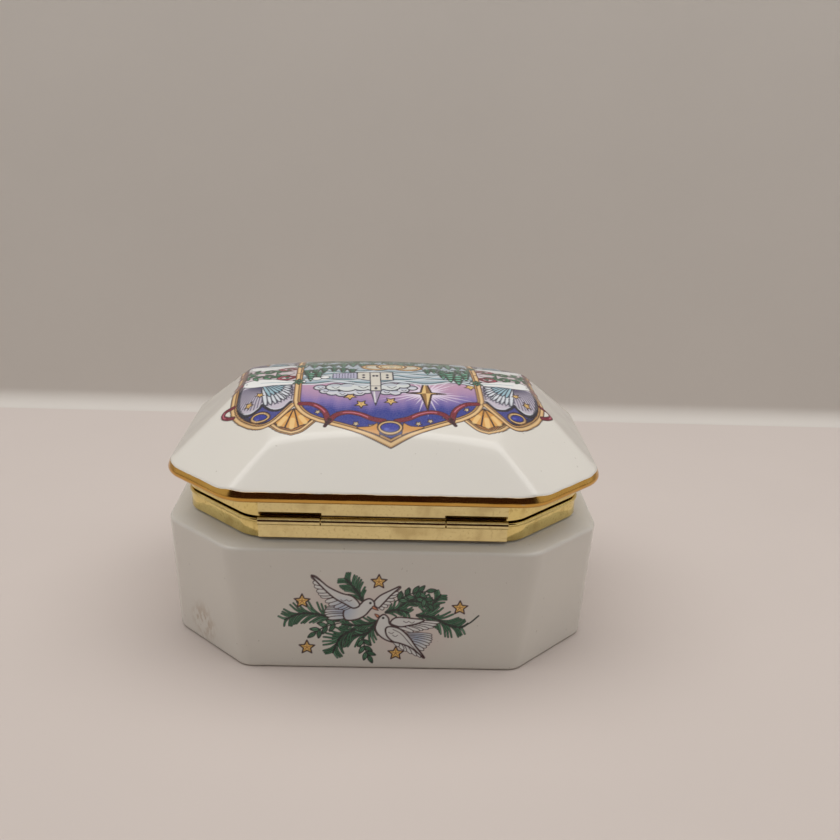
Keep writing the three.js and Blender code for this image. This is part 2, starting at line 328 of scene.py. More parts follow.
def round_shape(x, y, wide, high, turn=0):
    angle = np.arange(28) / 28 * 2 * math.pi
    flat = np.column_stack([wide * np.cos(angle), high * np.sin(angle)])
    return flat @ turned(turn) + (x, y)


def turned(degrees):
    angle = math.radians(degrees)
    return np.array([[math.cos(angle), math.sin(angle)], [-math.sin(angle), math.cos(angle)]])


def heading(step):
    return math.degrees(math.atan2(step[1], step[0]))


def placed(points, at, scale, turn):
    return np.array(points, float) * scale @ turned(turn) + at


class Print:
    """A picture on scattered points. Its own x and y are in millimetres."""

    def __init__(self, x, y):
        self.x = x
        self.y = y
        self.rgb = np.ones((len(x), 3))
        self.cover = np.zeros(len(x))

    def near(self, points, margin):
        low = points.min(axis=0) - margin
        high = points.max(axis=0) + margin
        inside = (self.x > low[0]) & (self.x < high[0]) & (self.y > low[1]) & (self.y < high[1])
        return np.flatnonzero(inside)

    def lay(self, where, amount, colour):
        """Lays colour over what is there, by an amount of 0 to 1 at each point."""
        amount = amount[:, None]
        under = self.cover[where][:, None] * (1 - amount)
        total = amount + under
        mixed = (colour * amount + self.rgb[where] * under) / np.maximum(total, 1e-6)
        self.rgb[where] = mixed
        self.cover[where] = total[:, 0]

    def fill(self, points, colour, soft=EDGE, strength=1.0):
        points = np.asarray(points, float)
        where = self.near(points, soft)
        if not len(where):
            return
        depth = depth_inside(points, self.x[where], self.y[where])
        shade = colour(self.x[where], self.y[where]) if callable(colour) else colour
        self.lay(where, np.clip(0.5 + depth / soft, 0, 1) * strength, shade)

    def line(self, points, width, colour, taper=0.0, strength=1.0):
        points = np.asarray(points, float)
        where = self.near(points, width)
        if not len(where):
            return
        distance, along = distance_to_line(points, self.x[where], self.y[where])
        half = width / 2 * (1 - taper * along)
        self.lay(where, np.clip(0.5 + (half - distance) / EDGE, 0, 1) * strength, colour)

    def shape(self, points, colour, outline, width=0.3):
        self.fill(points, colour)
        self.line(np.vstack([points, points[:1]]), width, outline)

    def blob(self, points, colour, outline, width=0.3):
        """A closed smooth shape through the points."""
        self.shape(curve(points, closed=True), colour, outline, width)


def distance_to_line(points, x, y):
    """Each place's distance to a line, and how far along the line that is, from 0 to 1."""
    nearest = np.full(len(x), 1e9)
    along = np.zeros(len(x))
    count = len(points) - 1
    for i in range(count):
        start, step = points[i], points[i + 1] - points[i]
        length = max(step @ step, 1e-9)
        part = np.clip(((x - start[0]) * step[0] + (y - start[1]) * step[1]) / length, 0, 1)
        gap = np.hypot(x - start[0] - part * step[0], y - start[1] - part * step[1])
        closer = gap < nearest
        nearest = np.where(closer, gap, nearest)
        along = np.where(closer, (i + part) / count, along)
    return nearest, along


def depth_inside(points, x, y):
    """Depth below a closed shape's edge: positive inside it, negative outside."""
    loop = np.vstack([points, points[:1]])
    gap, _ = distance_to_line(loop, x, y)
    inside = np.zeros(len(x), bool)
    for (ax, ay), (bx, by) in zip(loop, loop[1:]):
        if ay != by:
            crosses = (ay > y) != (by > y)
            inside ^= crosses & (x < (bx - ax) * (y - ay) / (by - ay) + ax)
    return np.where(inside, gap, -gap)


# ---- The printed pictures ----

BROWN = ink(50, 22, 18)
MAROON = ink(58, 20, 28)
GOLD = ink(188, 144, 90)
GOLD_LIGHT = ink(226, 190, 136)
GOLD_DEEP = ink(166, 108, 46)
WHITE = ink(228, 228, 226)
LINE_GREY = ink(40, 42, 60)
RIBBON = ink(116, 22, 44)
RIBBON_LIGHT = ink(206, 112, 130)
NIGHT = ink(42, 54, 138)
VIOLET = ink(120, 104, 166)
LILAC = ink(188, 148, 172)
SNOW = ink(168, 180, 190)
STAR_YELLOW = ink(240, 206, 130)
LEAF_DARK = ink(10, 30, 22)
LEAF = ink(44, 112, 76)
LEAF_LIGHT = ink(86, 146, 110)

NEEDLE_WIDTH = 0.78


def draw_star(picture, x, y, size, line=BROWN, fill=STAR_YELLOW):
    """A five-pointed star with a ray engraved to each point."""
    angle = np.radians(90 + np.arange(10) * 36)
    ray = np.column_stack([np.cos(angle), np.sin(angle)]) * size
    notched = ray * np.where(np.arange(10) % 2, 0.47, 1)[:, None]
    picture.shape(notched + (x, y), fill, line, 0.1 + size * 0.14)
    for point in ray[::2]:
        picture.line([(x, y), point * 0.5 + (x, y)], size * 0.1, GOLD_DEEP)


def gilded(picture, path, width):
    """A moulded gold strip: dark edges, a bright bead, and a groove to the right of the path."""
    path = np.array(path, float)
    step = np.gradient(path, axis=0)
    across = np.column_stack([-step[:, 1], step[:, 0]]) / np.hypot(*step.T)[:, None]
    picture.line(path, width + 0.5, BROWN)
    picture.line(path, width, GOLD)
    picture.line(path + across * width * 0.16, width * 0.4, GOLD_LIGHT)
    picture.line(path - across * width * 0.2, 0.22, BROWN)


def draw_needles(picture, spine, length, count):
    """A pine branch: needles on both sides of a spine, leaning to its tip and curving away from it."""
    spine = curve(spine)
    for i in range(count):
        part = (i + 0.5) / count
        index = min(int(part * (len(spine) - 1)), len(spine) - 2)
        root = spine[index]
        ahead = spine[index + 1] - root
        ahead = ahead / max(np.hypot(*ahead), 1e-6)
        size = length * (0.35 + 0.75 * math.sin(math.pi * (0.2 + 0.75 * part)))
        for side in (-1, 1):
            bend = root + ahead @ turned(side * 32) * size * 0.55
            needle = curve([root, bend, bend + ahead @ turned(side * 52) * size * 0.62], steps=4)
            tone = LEAF_LIGHT if (3 * i + side) % 7 == 0 else LEAF
            picture.line(needle, NEEDLE_WIDTH, LEAF_DARK, taper=0.3)
            picture.line(needle, NEEDLE_WIDTH * 0.52, tone, taper=0.4)
    picture.line(spine, NEEDLE_WIDTH, LEAF_DARK, taper=0.4)


def draw_leaf(picture, x, y, length, turn, fill=LEAF):
    flat = [(0, 0), (0.3, 0.19), (0.62, 0.19), (1, 0), (0.62, -0.19), (0.3, -0.19)]
    picture.shape(placed(curve(flat, closed=True, steps=3), (x, y), length, turn), fill, LEAF_DARK, 0.3)
    picture.line(placed([(0.1, 0), (0.85, 0)], (x, y), length, turn), 0.15, LEAF_DARK)


def draw_sprig(picture, stem, length, pairs):
    """A leafy twig: a leaf at its tip and pairs of leaves along it."""
    stem = curve(stem)
    picture.line(stem, 0.34, LEAF_DARK)
    for i in range(pairs):
        index = int((i + 0.6) / pairs * (len(stem) - 2))
        ahead = stem[index + 1] - stem[index]
        for turn, tone in ((-42, LEAF_LIGHT), (42, LEAF)):
            draw_leaf(picture, *stem[index], length, heading(ahead) + turn, tone)
    draw_leaf(picture, *stem[-1], length, heading(stem[-1] - stem[-2]))


def draw_quills(picture, roots, tips, count, width, fill, line, outline=0.22):
    """Overlapping feathers, each from a point on one curve to a point on another."""
    roots, tips = curve(roots), curve(tips)
    for part in np.linspace(0, 1, count):
        root = roots[int(part * (len(roots) - 1))]
        reach = tips[int(part * (len(tips) - 1))] - root
        length = np.hypot(*reach)
        half = width / 2 / length
        flat = [(0, 0.5 * half), (0.5, half), (0.88, 0.8 * half), (1, 0), (0.88, -0.8 * half), (0.5, -half),
                (0, -0.5 * half)]
        feather = placed(curve(flat, closed=True, steps=3), root, length, heading(reach))
        picture.shape(feather, fill, line, outline)


def shaded_white(x, y, size):
    """White with blue-grey shade round a place."""
    def tone(px, py):
        amount = np.clip(1 - np.hypot(px - x, py - y) / size, 0, 1)[:, None]
        return WHITE * (1 - 0.6 * amount) + ink(120, 158, 206) * 0.6 * amount
    return tone


def draw_head(picture, eye, beak, line):
    picture.shape(curve(beak, closed=True, steps=3), ink(206, 132, 92), line, 0.24)
    picture.fill(round_shape(*eye, 0.34, 0.34), ink(30, 24, 28))


def draw_upper_dove(picture):
    """The dove that flies in from the left with its wings raised."""
    white = shaded_white(-9.4, 16.6, 4.2)
    draw_quills(picture, [(-0.8, 18), (0.4, 19.6), (2.6, 21.8)],
                [(0.6, 17), (2.4, 18.6), (3.8, 21), (4.6, 23.4)], 7, 0.95, WHITE, MAROON)
    coverts = [(-1.9, 18.7), (-0.6, 20.6), (1.6, 22), (4.5, 23.4), (2.2, 20.9), (0.4, 18.6), (-0.8, 17.4)]
    picture.blob(coverts, WHITE, MAROON, 0.42)
    draw_quills(picture, [(-7.6, 17), (-7.6, 15.8), (-7.6, 14.8)],
                [(-13.4, 17.2), (-14, 15.8), (-13, 14.2)], 6, 1, white, MAROON)
    body = [(-5.6, 18), (-4.2, 19.4), (-2.9, 19.9), (-1.9, 19.2), (-1.7, 17.9), (-2.6, 17), (-4, 15.2),
            (-6.2, 14), (-8.8, 14), (-9, 16.6)]
    picture.blob(body, white, MAROON, 0.44)
    draw_quills(picture, [(-7, 18.2), (-9.6, 19.6), (-12.6, 21.8), (-14.8, 24.4)],
                [(-9.6, 16.8), (-12.4, 17.6), (-14.8, 20.2), (-16.2, 22.6), (-17, 25.9)], 11, 1.15, white,
                MAROON)
    near = [(-5.3, 18.2), (-7, 20.4), (-9.8, 21.3), (-12.8, 22.9), (-15, 24.8), (-17, 26), (-14.4, 22.8),
            (-11.6, 20), (-9, 18.4), (-6.8, 17.2)]
    picture.blob(near, white, MAROON, 0.44)
    for x in (-9, -7.6):
        picture.line(curve([(x - 0.9, 19.5), (x - 0.3, 19.1), (x + 0.4, 19.4)]), 0.18, MAROON)
    draw_head(picture, (-2.7, 18.7), [(-1.9, 17.9), (-0.7, 16.7), (-2.2, 17.2)], MAROON)


def draw_lower_dove(picture):
    """The dove at the right, seen from its back, with both wings swept to its tail."""
    white = shaded_white(8.8, 9.2, 3.6)
    draw_quills(picture, [(5.4, 10.2), (6, 9.2), (6.2, 8)], [(12.7, 10), (12.6, 8), (10.8, 5.6)], 7, 1.1,
                white, MAROON)
    draw_quills(picture, [(6.4, 13.6), (5.6, 12.8), (4, 12.4)],
                [(14.4, 13.6), (13, 12.2), (10.4, 11.4), (8, 10.8)], 7, 0.95, WHITE, MAROON)
    far = [(2.3, 13.2), (3.8, 14.8), (7.8, 14.6), (10.6, 14.2), (9, 13.2), (6.8, 12.6), (4.6, 12.2)]
    picture.blob(far, WHITE, MAROON, 0.42)
    body = [(0.7, 15.6), (-0.4, 14.8), (-1, 13.4), (-1.4, 11.6), (-0.6, 9.9), (1.2, 8.4), (3.8, 7.5),
            (6.4, 6.8), (6.8, 9.6), (4.2, 11.8), (2.2, 12.9), (1.8, 14.6)]
    picture.blob(body, white, MAROON, 0.44)
    draw_quills(picture, [(5.8, 9.6), (4.6, 8.8), (3, 8.4)], [(11, 3.2), (9, 3.9), (6.4, 5.2), (4.6, 6.6)],
                7, 1, WHITE, MAROON)
    near = [(1.2, 11.6), (2.4, 12.2), (4.8, 11.5), (7, 9.3), (8.8, 6.5), (11, 3.4), (7.6, 6.2), (5, 7.4),
            (3, 8), (1.5, 9.6)]
    picture.blob(near, WHITE, MAROON, 0.44)
    picture.line(curve([(3, 11.4), (5, 10.2), (7.4, 7.2), (9.6, 4.6)]), 0.2, MAROON)
    for x, y in ((2.6, 10.6), (3.6, 9.8), (6.2, 13.8), (7.6, 13.7)):
        picture.line(curve([(x - 0.7, y), (x, y - 0.4), (x + 0.6, y)]), 0.17, MAROON)
    draw_head(picture, (0.5, 14.6), [(-0.5, 15.3), (-1.6, 15.7), (-0.9, 14.6)], MAROON)


# Spine, length of the needles and their count on a side.
PINE_BRANCHES = (
    ([(4, 17), (7, 19.4), (11.4, 18.8)], 3.2, 9),
    ([(12.4, 13.4), (12, 17.6), (14.4, 21.4)], 2.9, 10),
    ([(-10.4, 13.6), (-15, 15.2), (-19.6, 15.4), (-23.6, 13.6)], 3.6, 13),
    ([(-4.6, 19.3), (-6.4, 22.4), (-9, 25.4)], 3, 10),
    ([(-0.6, 13.6), (-4.6, 12.4), (-9.6, 12.6)], 3, 10),
    ([(-1.4, 13), (-3.4, 10.2), (-7.6, 9.2), (-10.6, 7.8)], 3.4, 13),
    ([(-6.6, 11.2), (-10, 8.8), (-11.8, 4.4)], 3.6, 10),
    ([(8.8, 15.5), (12.5, 15), (16.5, 13), (20, 12.2)], 3.7, 13),
    ([(1.2, 16.2), (3.8, 17), (6.6, 16.2)], 2.6, 7),
)
# Stem, length of the leaves and their pairs.
TWIGS = (
    ([(3.6, 19.4), (7, 21.4), (10.8, 22.2)], 2.5, 4),
    ([(6.8, 19.6), (9.8, 20.6), (11.4, 18.8)], 2.4, 2),
    ([(-10, 13), (-13.8, 11.8), (-16, 10.2)], 2.5, 3),
    ([(-4.4, 9.6), (-3.9, 6), (-3, 3.9)], 2.5, 3),
)


def paint_doves(picture):
    """Two doves over pine and leafy twigs, with five stars, on the base's long walls."""
    for x, y, wide, high in ((-8, 18, 11, 6), (6, 9, 10, 6), (12, 17, 8, 6)):
        picture.fill(round_shape(x, y, wide, high), ink(222, 190, 190), soft=6.0, strength=0.22)
    for spine, length, count in PINE_BRANCHES:
        draw_needles(picture, spine, length, count)
    picture.line(curve([(19.5, 12.3), (21.8, 13.6), (23.9, 15.7)]), 0.42, LEAF_DARK)
    for stem, length, pairs in TWIGS:
        draw_sprig(picture, stem, length, pairs)
    draw_upper_dove(picture)
    draw_lower_dove(picture)
    for x, y in ((-19.3, 18.9), (-0.7, 24.6), (19.2, 17.8), (-18.2, 5.9), (3.8, 4.6)):
        draw_star(picture, x, y, 2, ink(56, 8, 16), ink(250, 204, 112))


def sky(x, y):
    """Night blue by the frame, through violet to pale lilac over the snow."""
    stops = (8, 12, 16.5, 20, 23)
    tones = np.array([LILAC * 0.6 + SNOW * 0.4, LILAC, LILAC * 0.6 + VIOLET * 0.4, VIOLET, NIGHT])
    shore = np.abs(y) + 0.006 * x * x + 0.5 * np.sin(0.9 * x) + 0.3 * np.sin(2.3 * x)
    shore = shore + 0.8 * np.sin(9 * x + 5 * y) * np.sin(7 * x - 3 * y)
    return np.column_stack([np.interp(shore, stops, tones[:, channel]) for channel in range(3)])


FRAME_BAR = 23.2
FRAME_TIP = (0, 32.6)
FRAME_STRIP = 1.45
LOBE_STRIP = 1.3
# The point of the lobe's quarter where a panel's blue corner starts.
CORNER_START = 18
# What turns the picture's first quarter into each of the four.
QUARTERS = np.array([(1, 1), (-1, 1), (1, -1), (-1, -1)])


def frame_half():
    """A quarter of the cartouche's frame, from the middle of its side bar to its tip."""
    vault = curve([(FRAME_BAR, 17), (22.7, 19.5), (21.5, 21.8), (19.7, 23.7), (17.3, 25.3)])
    return np.vstack([[(FRAME_BAR, 0)], vault, [FRAME_TIP]])


def lobe_half():
    """A quarter of a side panel's frame, from the middle of its outer bar to the main frame."""
    return curve([(38.6, 0), (38.8, 6), (39.2, 12), (39.1, 15.6), (38.2, 18.4), (36.4, 21.1), (34, 23.6),
                  (32.1, 25), (30.6, 25.5), (29.2, 25.2), (28, 24.2), (26.4, 22.1), (24.2, 18.8)])


def closed_all_round(half):
    """A closed shape with two mirror axes, from its quarter."""
    return np.vstack([half, half[::-1] * (-1, 1), half * (-1, -1), half[::-1] * (1, -1)])


def draw_fan(picture, mirror):
    """The gold fan that fills the notch between the frame and a side panel."""
    apex = np.array([(23.7, 20.4)])
    edge = np.vstack([curve([(29.4, 25.4), (27, 27.9), (23.9, 29.3)]),
                      curve([(23.9, 29.3), (21.4, 28.4), (18.4, 25.2)])[1:]])
    picture.fill(np.vstack([apex, edge]) * mirror, GOLD_DEEP)
    gilded(picture, edge * mirror, 1)
    petals = [[(28.2, 25), (25.6, 27.3)], [(25.5, 27.4), (22.3, 27.4)], [(22.2, 27.2), (19.2, 24.8)]]
    for left, right in np.array(petals):
        middle = (left + right) / 2
        crest = middle + (middle - apex[0]) * 0.08
        petal = np.vstack([apex, curve([left, crest, right], steps=4)])
        picture.shape(petal * mirror, ink(214, 154, 76), BROWN, 0.34)
        shine = np.array([apex[0] * 0.4 + middle * 0.6, middle])
        picture.line(shine * mirror, 1.2, ink(240, 204, 136), strength=0.7)


def draw_medallion(picture, x, y, wide, high, turn=0):
    """A blue stone in a gold ring, with a glint."""
    for across, deep, tone in ((0.35, 0.35, BROWN), (0, 0, GOLD), (-0.2, -0.2, GOLD_LIGHT),
                               (-0.4, -0.4, ink(30, 20, 34)), (-0.75, -0.7, ink(44, 52, 150))):
        picture.fill(round_shape(x, y, wide + across, high + deep, turn), tone)
    glint = round_shape(x + 0.3 * wide, y + 0.25 * high, 0.18 * wide, 0.16 * high, turn)
    picture.fill(glint, ink(96, 110, 200), soft=0.5, strength=0.7)


def draw_panel(picture, mirror):
    """A quarter of the picture's sides: a dove over fine plumes, a blue corner and its medallion."""
    oval = curve([(24.8, 9), (27.6, 6.6), (32, 5.8), (36, 7.4), (38.2, 11.2), (38.4, 15.6), (36.4, 19.4),
                  (30.4, 19.8), (25.2, 19.2)], closed=True) * mirror
    picture.shape(oval, ink(192, 184, 196), LINE_GREY, 0.3)
    root = np.array([31.4, 7.6])
    for angle in np.radians(np.arange(22, 160, 4.6)):
        way = np.array([math.cos(angle), math.sin(angle)])
        bend = np.array([0.6 * math.sin(2 * angle), 0])
        reach = 6.8 + 4.4 * math.sin(angle)
        plume = curve([root + way * 2, root + way * reach * 0.6 + bend, root + way * reach])
        picture.line(plume * mirror, 0.32, ink(52, 48, 84), strength=0.85)
    arch = curve([(24.6, 17.4), (26.5, 20.3), (28.8, 20.7), (30.6, 19.4), (31.6, 17.8), (32.4, 19),
                  (34.5, 19.8), (36.8, 18.6), (38.7, 15.4)])
    corner = np.vstack([arch, lobe_half()[CORNER_START:]]) * mirror
    picture.fill(corner, ink(58, 62, 134))
    picture.line((arch - (0, 0.7)) * mirror, 0.4, ink(206, 206, 214))
    picture.line(arch * mirror, 0.9, ink(30, 26, 42))
    picture.line(lobe_half() * 0.975 * mirror, 1.3, ink(26, 28, 44), strength=0.8)
    draw_medallion(picture, *(mirror * (31.9, 22.1)), 2.5, 1.5, -27 * mirror.prod())
    draw_panel_dove(picture, mirror)
    for x, y in ((32.7, 13.2), (35.2, 16.3)):
        draw_star(picture, *(mirror * (x, y)), 1.2)


def draw_panel_dove(picture, mirror):
    """A dove whose wing feathers spread towards the frame and whose tail crosses the bar."""
    pale = ink(212, 216, 222)
    draw_quills(picture, mirror * [(30.4, 7.6), (31, 9), (32.2, 9.6)],
                mirror * [(24.9, 9.6), (25, 14), (27.2, 17.2), (30.8, 18.4)], 11, 1.15, pale, LINE_GREY,
                0.36)
    draw_quills(picture, mirror * [(30.8, 7.2), (32.2, 8.2)],
                mirror * [(26.6, 8.8), (27.2, 12), (30, 14.4)], 7, 1, ink(150, 184, 196), LINE_GREY, 0.34)
    body = curve([(21.6, 6.6), (25.6, 6.2), (29.6, 4.4), (33.6, 3.8), (36.6, 5), (37.8, 7.2), (36.4, 8.6),
                  (33.4, 8.8), (29.6, 8.4), (25.8, 8.6), (22.2, 8.4)], closed=True) * mirror
    picture.shape(body, WHITE, LINE_GREY, 0.28)
    picture.line(curve([(24.6, 7.6), (28.8, 6.6), (33, 6.4)]) * mirror, 0.24, ink(120, 158, 170))
    picture.fill(round_shape(*((36.6, 6.6) * mirror), 0.26, 0.26), LINE_GREY)


def draw_chapel(picture):
    """A small white chapel with a tower, its spire pointing to the hinge."""
    stone, roof = ink(208, 202, 190), ink(172, 170, 194)
    picture.shape([(8.1, 1.5), (8.1, 6.4), (5.4, 7.6), (-1.3, 7.4), (-1.3, 1.5)], stone, LINE_GREY, 0.4)
    picture.shape([(8.1, 1.8), (14.4, 2.2), (14.4, 5.8), (8.1, 6.2)], roof, LINE_GREY, 0.28)
    for x in np.arange(9, 14.2, 0.75):
        picture.line([(x, 2.4), (x, 5.8)], 0.17, LINE_GREY)
    picture.shape([(2, 1.6), (4.7, 1.6), (4.7, 13.6), (2, 13.6)], stone, LINE_GREY, 0.3)
    picture.shape([(2, 13.8), (4.7, 13.8), (3.5, 20.4)], ink(158, 142, 168), LINE_GREY, 0.3)
    picture.line([(3.8, 14.2), (3.6, 19)], 0.4, WHITE, strength=0.8)
    picture.line([(2, 11), (4.7, 11)], 0.28, LINE_GREY)
    for x, y in ((3.3, 12.3), (2.9, 4.4), (3.8, 4.4), (0.2, 3.8), (0.2, 5.6), (6.4, 3.8), (6.4, 5.6)):
        picture.fill(round_shape(x, y, 0.4, 0.68), LINE_GREY)


def draw_fir(picture, x, y, high, wide):
    """A fir tree whose tip is at (x, y), in dark-edged tiers with frost on them."""
    for tier in range(4, 0, -1):
        base = y - high * tier / 4
        half = wide * (0.25 + 0.19 * tier)
        top = base + high * 0.42
        crown = [(x, top), (x + half, base), (x + half * 0.5, base + 0.5), (x + half * 0.25, base - 0.1),
                 (x, base + 0.3), (x - half * 0.25, base - 0.1), (x - half * 0.5, base + 0.5),
                 (x - half, base)]
        picture.shape(crown, ink(62, 130, 102), LEAF_DARK, 0.34)
        picture.line([(x - half * 0.35, base + 1), (x + half * 0.2, base + 1.2)], 0.3, ink(150, 200, 182))


def draw_cloud(picture, puffs, tone):
    """A scalloped cloud from round puffs of (x, y, size), with a curl inside some of them."""
    for x, y, size in puffs:
        picture.fill(round_shape(x, y, size * 1.25 + 0.4, size + 0.5), ink(36, 34, 54))
    for x, y, size in puffs:
        picture.fill(round_shape(x, y, size * 1.25, size), tone)
        picture.fill(round_shape(x, y - size * 0.5, size, size * 0.4), ink(150, 160, 184), strength=0.5)
    for x, y, size in puffs[::2]:
        picture.line(curve([(x - size * 0.8, y), (x - size * 0.2, y + size * 0.5), (x + size * 0.4, y)]),
                     0.26, ink(36, 34, 54))


def draw_rings(picture):
    """Linked gold rings lying on the snow in the middle of the lid."""
    for x, y, turn in ((2.9, -3.6, -8), (-5.4, -3.4, 8), (-1.2, -4.4, 0)):
        ring = round_shape(x, y, 3.5, 2.6, turn)
        picture.fill(ring, ink(230, 214, 176), strength=0.6)
        gilded(picture, np.vstack([ring, ring[:2]]), 1)


def draw_ribbon(picture, points, width):
    """A dark red ribbon with a pale sheen on its crest."""
    line = curve(points, steps=8)
    crest = line[len(line) // 3:len(line) * 3 // 4]
    picture.line(line, width + 0.4, ink(52, 10, 24))
    picture.line(line, width, RIBBON)
    picture.line(crest, width * 0.26, RIBBON_LIGHT, strength=0.85)


def paint_lid(picture):
    """A winter night in a gold frame, with doves at its sides. The clasp side is its lower half."""
    picture.fill(closed_all_round(lobe_half()), ink(200, 186, 190))
    picture.fill(closed_all_round(frame_half()), sky)
    draw_sky(picture)
    draw_ground(picture)
    draw_chapel(picture)
    for mirror in QUARTERS:
        draw_panel(picture, mirror)
        draw_fan(picture, mirror)
        draw_ends(picture, mirror)
    for turn in (1, -1):
        lobe, half = lobe_half(), frame_half()
        gilded(picture, np.vstack([lobe[::-1], lobe[1:] * (1, -1)]) * turn, LOBE_STRIP)
        gilded(picture, np.vstack([half * (-1, 1), half[-2::-1]]) * turn, FRAME_STRIP)
    draw_trim(picture)


GREAT_STAR = np.array([(0, 7.4), (1.35, 0.45), (5, 0), (1.35, -0.45),
                       (0, -7.4), (-1.35, -0.45), (-5, 0), (-1.35, 0.45)])
GREAT_STAR_PLACE = np.array([-9.4, 14.7])


def draw_sky(picture):
    """A great star in a ring of rays, and small stars."""
    for angle in np.radians(np.arange(6, 366, 12)):
        way = np.array([math.cos(angle), 0.8 * math.sin(angle)])
        reach = 9 + 3.5 * math.sin(5 * angle)
        ray = np.array([way * 1.5, way * reach]) + GREAT_STAR_PLACE
        picture.line(ray, 0.8, ink(232, 222, 236), taper=1.0, strength=0.7)
    picture.shape(GREAT_STAR + GREAT_STAR_PLACE, ink(222, 186, 122), BROWN, 0.55)
    for end in (-1, 1):
        facet = np.array([(0, 7 * end), (1.1 * end, 0), (0, 0)])
        picture.fill(facet + GREAT_STAR_PLACE, ink(140, 102, 56))
    for x, y in ((9.9, 16.2), (7.1, 19.8), (-0.3, 18.7), (-21.2, 10)):
        draw_star(picture, x, y, 1.7)
    for x, y in ((12.6, 23.4), (17.8, 22.4), (8.4, 27.2), (4.8, 28.2), (-6.8, 27.4), (-9.8, 26.4),
                 (-19.2, 21.4), (-13.6, 24.8), (-20.4, 18.8)):
        draw_star(picture, x, y, 0.9, fill=ink(236, 226, 190))


def draw_ground(picture):
    """Clouds over a snowy hill with drifts, firs, rings and a garland on it."""
    draw_cloud(picture, [(16.2, 13.2, 1), (14.3, 14, 1.2), (12, 14.8, 1.1), (9.9, 13.8, 1.3),
                         (7.6, 14.6, 1.1), (5.6, 13.6, 1.2), (0.8, 14.2, 1.2), (-1.6, 14.6, 1),
                         (-3.6, 13.2, 1.1), (-6, 12, 0.9), (17.6, 11.2, 1.1)], ink(204, 204, 210))
    draw_cloud(picture, [(13.9, 11.2, 1.6), (10.6, 11.6, 1.9), (6.9, 11.2, 2), (3.4, 11.6, 1.9),
                         (-0.4, 11.4, 1.9), (-3.7, 10.6, 1.3)], ink(206, 210, 208))
    hill = curve([(-22.6, 9.2), (-16, 8), (-8, 9.6), (0, 8.8), (8, 9.8), (15, 8.4), (22.6, 8.9)])
    picture.fill(np.vstack([hill, [(22.6, -20), (-22.6, -20)]]), SNOW)
    picture.line(hill, 0.3, LINE_GREY)
    for i in range(6):
        swell = 0.7 * np.sin(0.42 * hill[:, 0] + 2.3 * i)
        drift = np.column_stack([hill[:, 0], hill[:, 1] - 1 - 1.9 * i + swell])
        picture.line(drift, 1, ink(104, 146, 152), strength=0.7)
        picture.line(drift + (0, 0.8), 0.8, ink(214, 222, 226), strength=0.8)
        picture.line(drift + (0, 0.35), 0.4, LINE_GREY)
    for x in np.arange(-22, 23, 2.6):
        tall = 4.6 + 1.2 * math.sin(2.9 * x)
        draw_fir(picture, x, -4.6 + 0.9 * math.sin(1.3 * x), tall, 1.9)
    for x in (-21.4, -19, -17.2, -14.6, -12.4, -10.6, 9.4, 11.8, 14.2, 16.8, 19.2, 21.4):
        draw_fir(picture, x, 1.4 + 1.1 * math.sin(2.1 * x), 4.2, 1.5)
    for x, y, high, wide in ((18.2, 4.8, 4.6, 1.7), (20.2, 6.2, 5.4, 1.9), (-20.6, 5, 5.6, 2),
                             (-18.4, 8.2, 6.4, 2.4), (-14.6, 4.8, 5, 2), (-16.4, 6.6, 6, 2.3)):
        draw_fir(picture, x, y, high, wide)
    for x, y in ((18.6, 5.6), (16.4, 4.8)):
        picture.shape(round_shape(x, y, 1.2, 1), WHITE, LINE_GREY, 0.26)
    draw_rings(picture)
    draw_garland(picture)


def draw_garland(picture):
    """Pine and leaves across the clasp half of the picture."""
    for x in (-18, -10, -2, 6, 14):
        draw_needles(picture, [(x, -14.6), (x + 3, -12.6), (x + 7, -13.2)], 3.6, 9)
        draw_needles(picture, [(x + 6, -17), (x + 2, -18.8), (x - 2, -17.4)], 3.4, 9)
        draw_sprig(picture, [(x - 2, -15.8), (x + 1, -16.4), (x + 3.5, -15.4)], 2.4, 2)


def draw_ends(picture, mirror):
    """Leaves and ribbon across the middle of a side panel."""
    draw_sprig(picture, mirror * [(38.4, 0), (34.6, 2.4), (31, 2.4)], 2.8, 3)
    draw_sprig(picture, mirror * [(24.6, 0.6), (27.4, 2.6), (30, 1.6)], 2.6, 2)
    draw_ribbon(picture, mirror * [(24.4, 4), (26.6, 5.2), (28.6, 4), (26.8, 2.6), (24.6, 3.2)], 0.8)


# Points of each ribbon in one quarter of the picture, and its width.
RIBBONS = (
    ([(22.2, 18.6), (19.6, 19), (17.4, 20.6), (15.9, 22.9), (15.1, 26.2)], 1.3),
    ([(15, 26), (13.2, 23.8), (10.4, 23), (7.4, 23.8), (4.4, 25.6), (1.6, 26.4)], 1.3),
    ([(39, 18), (40.6, 17.2), (41.7, 16), (41.3, 14.7), (39.2, 14.4)], 0.8),
    ([(39.8, 9), (37.8, 6.8), (39.6, 4.6), (37.4, 2.2)], 0.8),
)


def draw_trim(picture):
    """Ribbons twined along the frame, leaf knots on its bars, and the medallions at its tips."""
    for mirror in QUARTERS:
        wedge = curve([(2.6, 31), (8.2, 28.6), (5, 28.2), (3.2, 27)], steps=4)
        picture.shape(wedge * mirror, ink(206, 146, 72), BROWN, 0.24)
        for points, width in RIBBONS:
            draw_ribbon(picture, mirror * points, width)
        picture.line(mirror * [(15.9, 27.6), (14.7, 25.4)], 1, ink(52, 10, 24))
        for turn in (40, 90, 140, 220, 270, 320):
            draw_leaf(picture, *(mirror * (FRAME_BAR, 7)), 1.9, turn, LEAF_LIGHT)
    for end in (1, -1):
        draw_medallion(picture, 0.1, 28.6 * end, 2.9, 2.1)


# ---- Materials ----

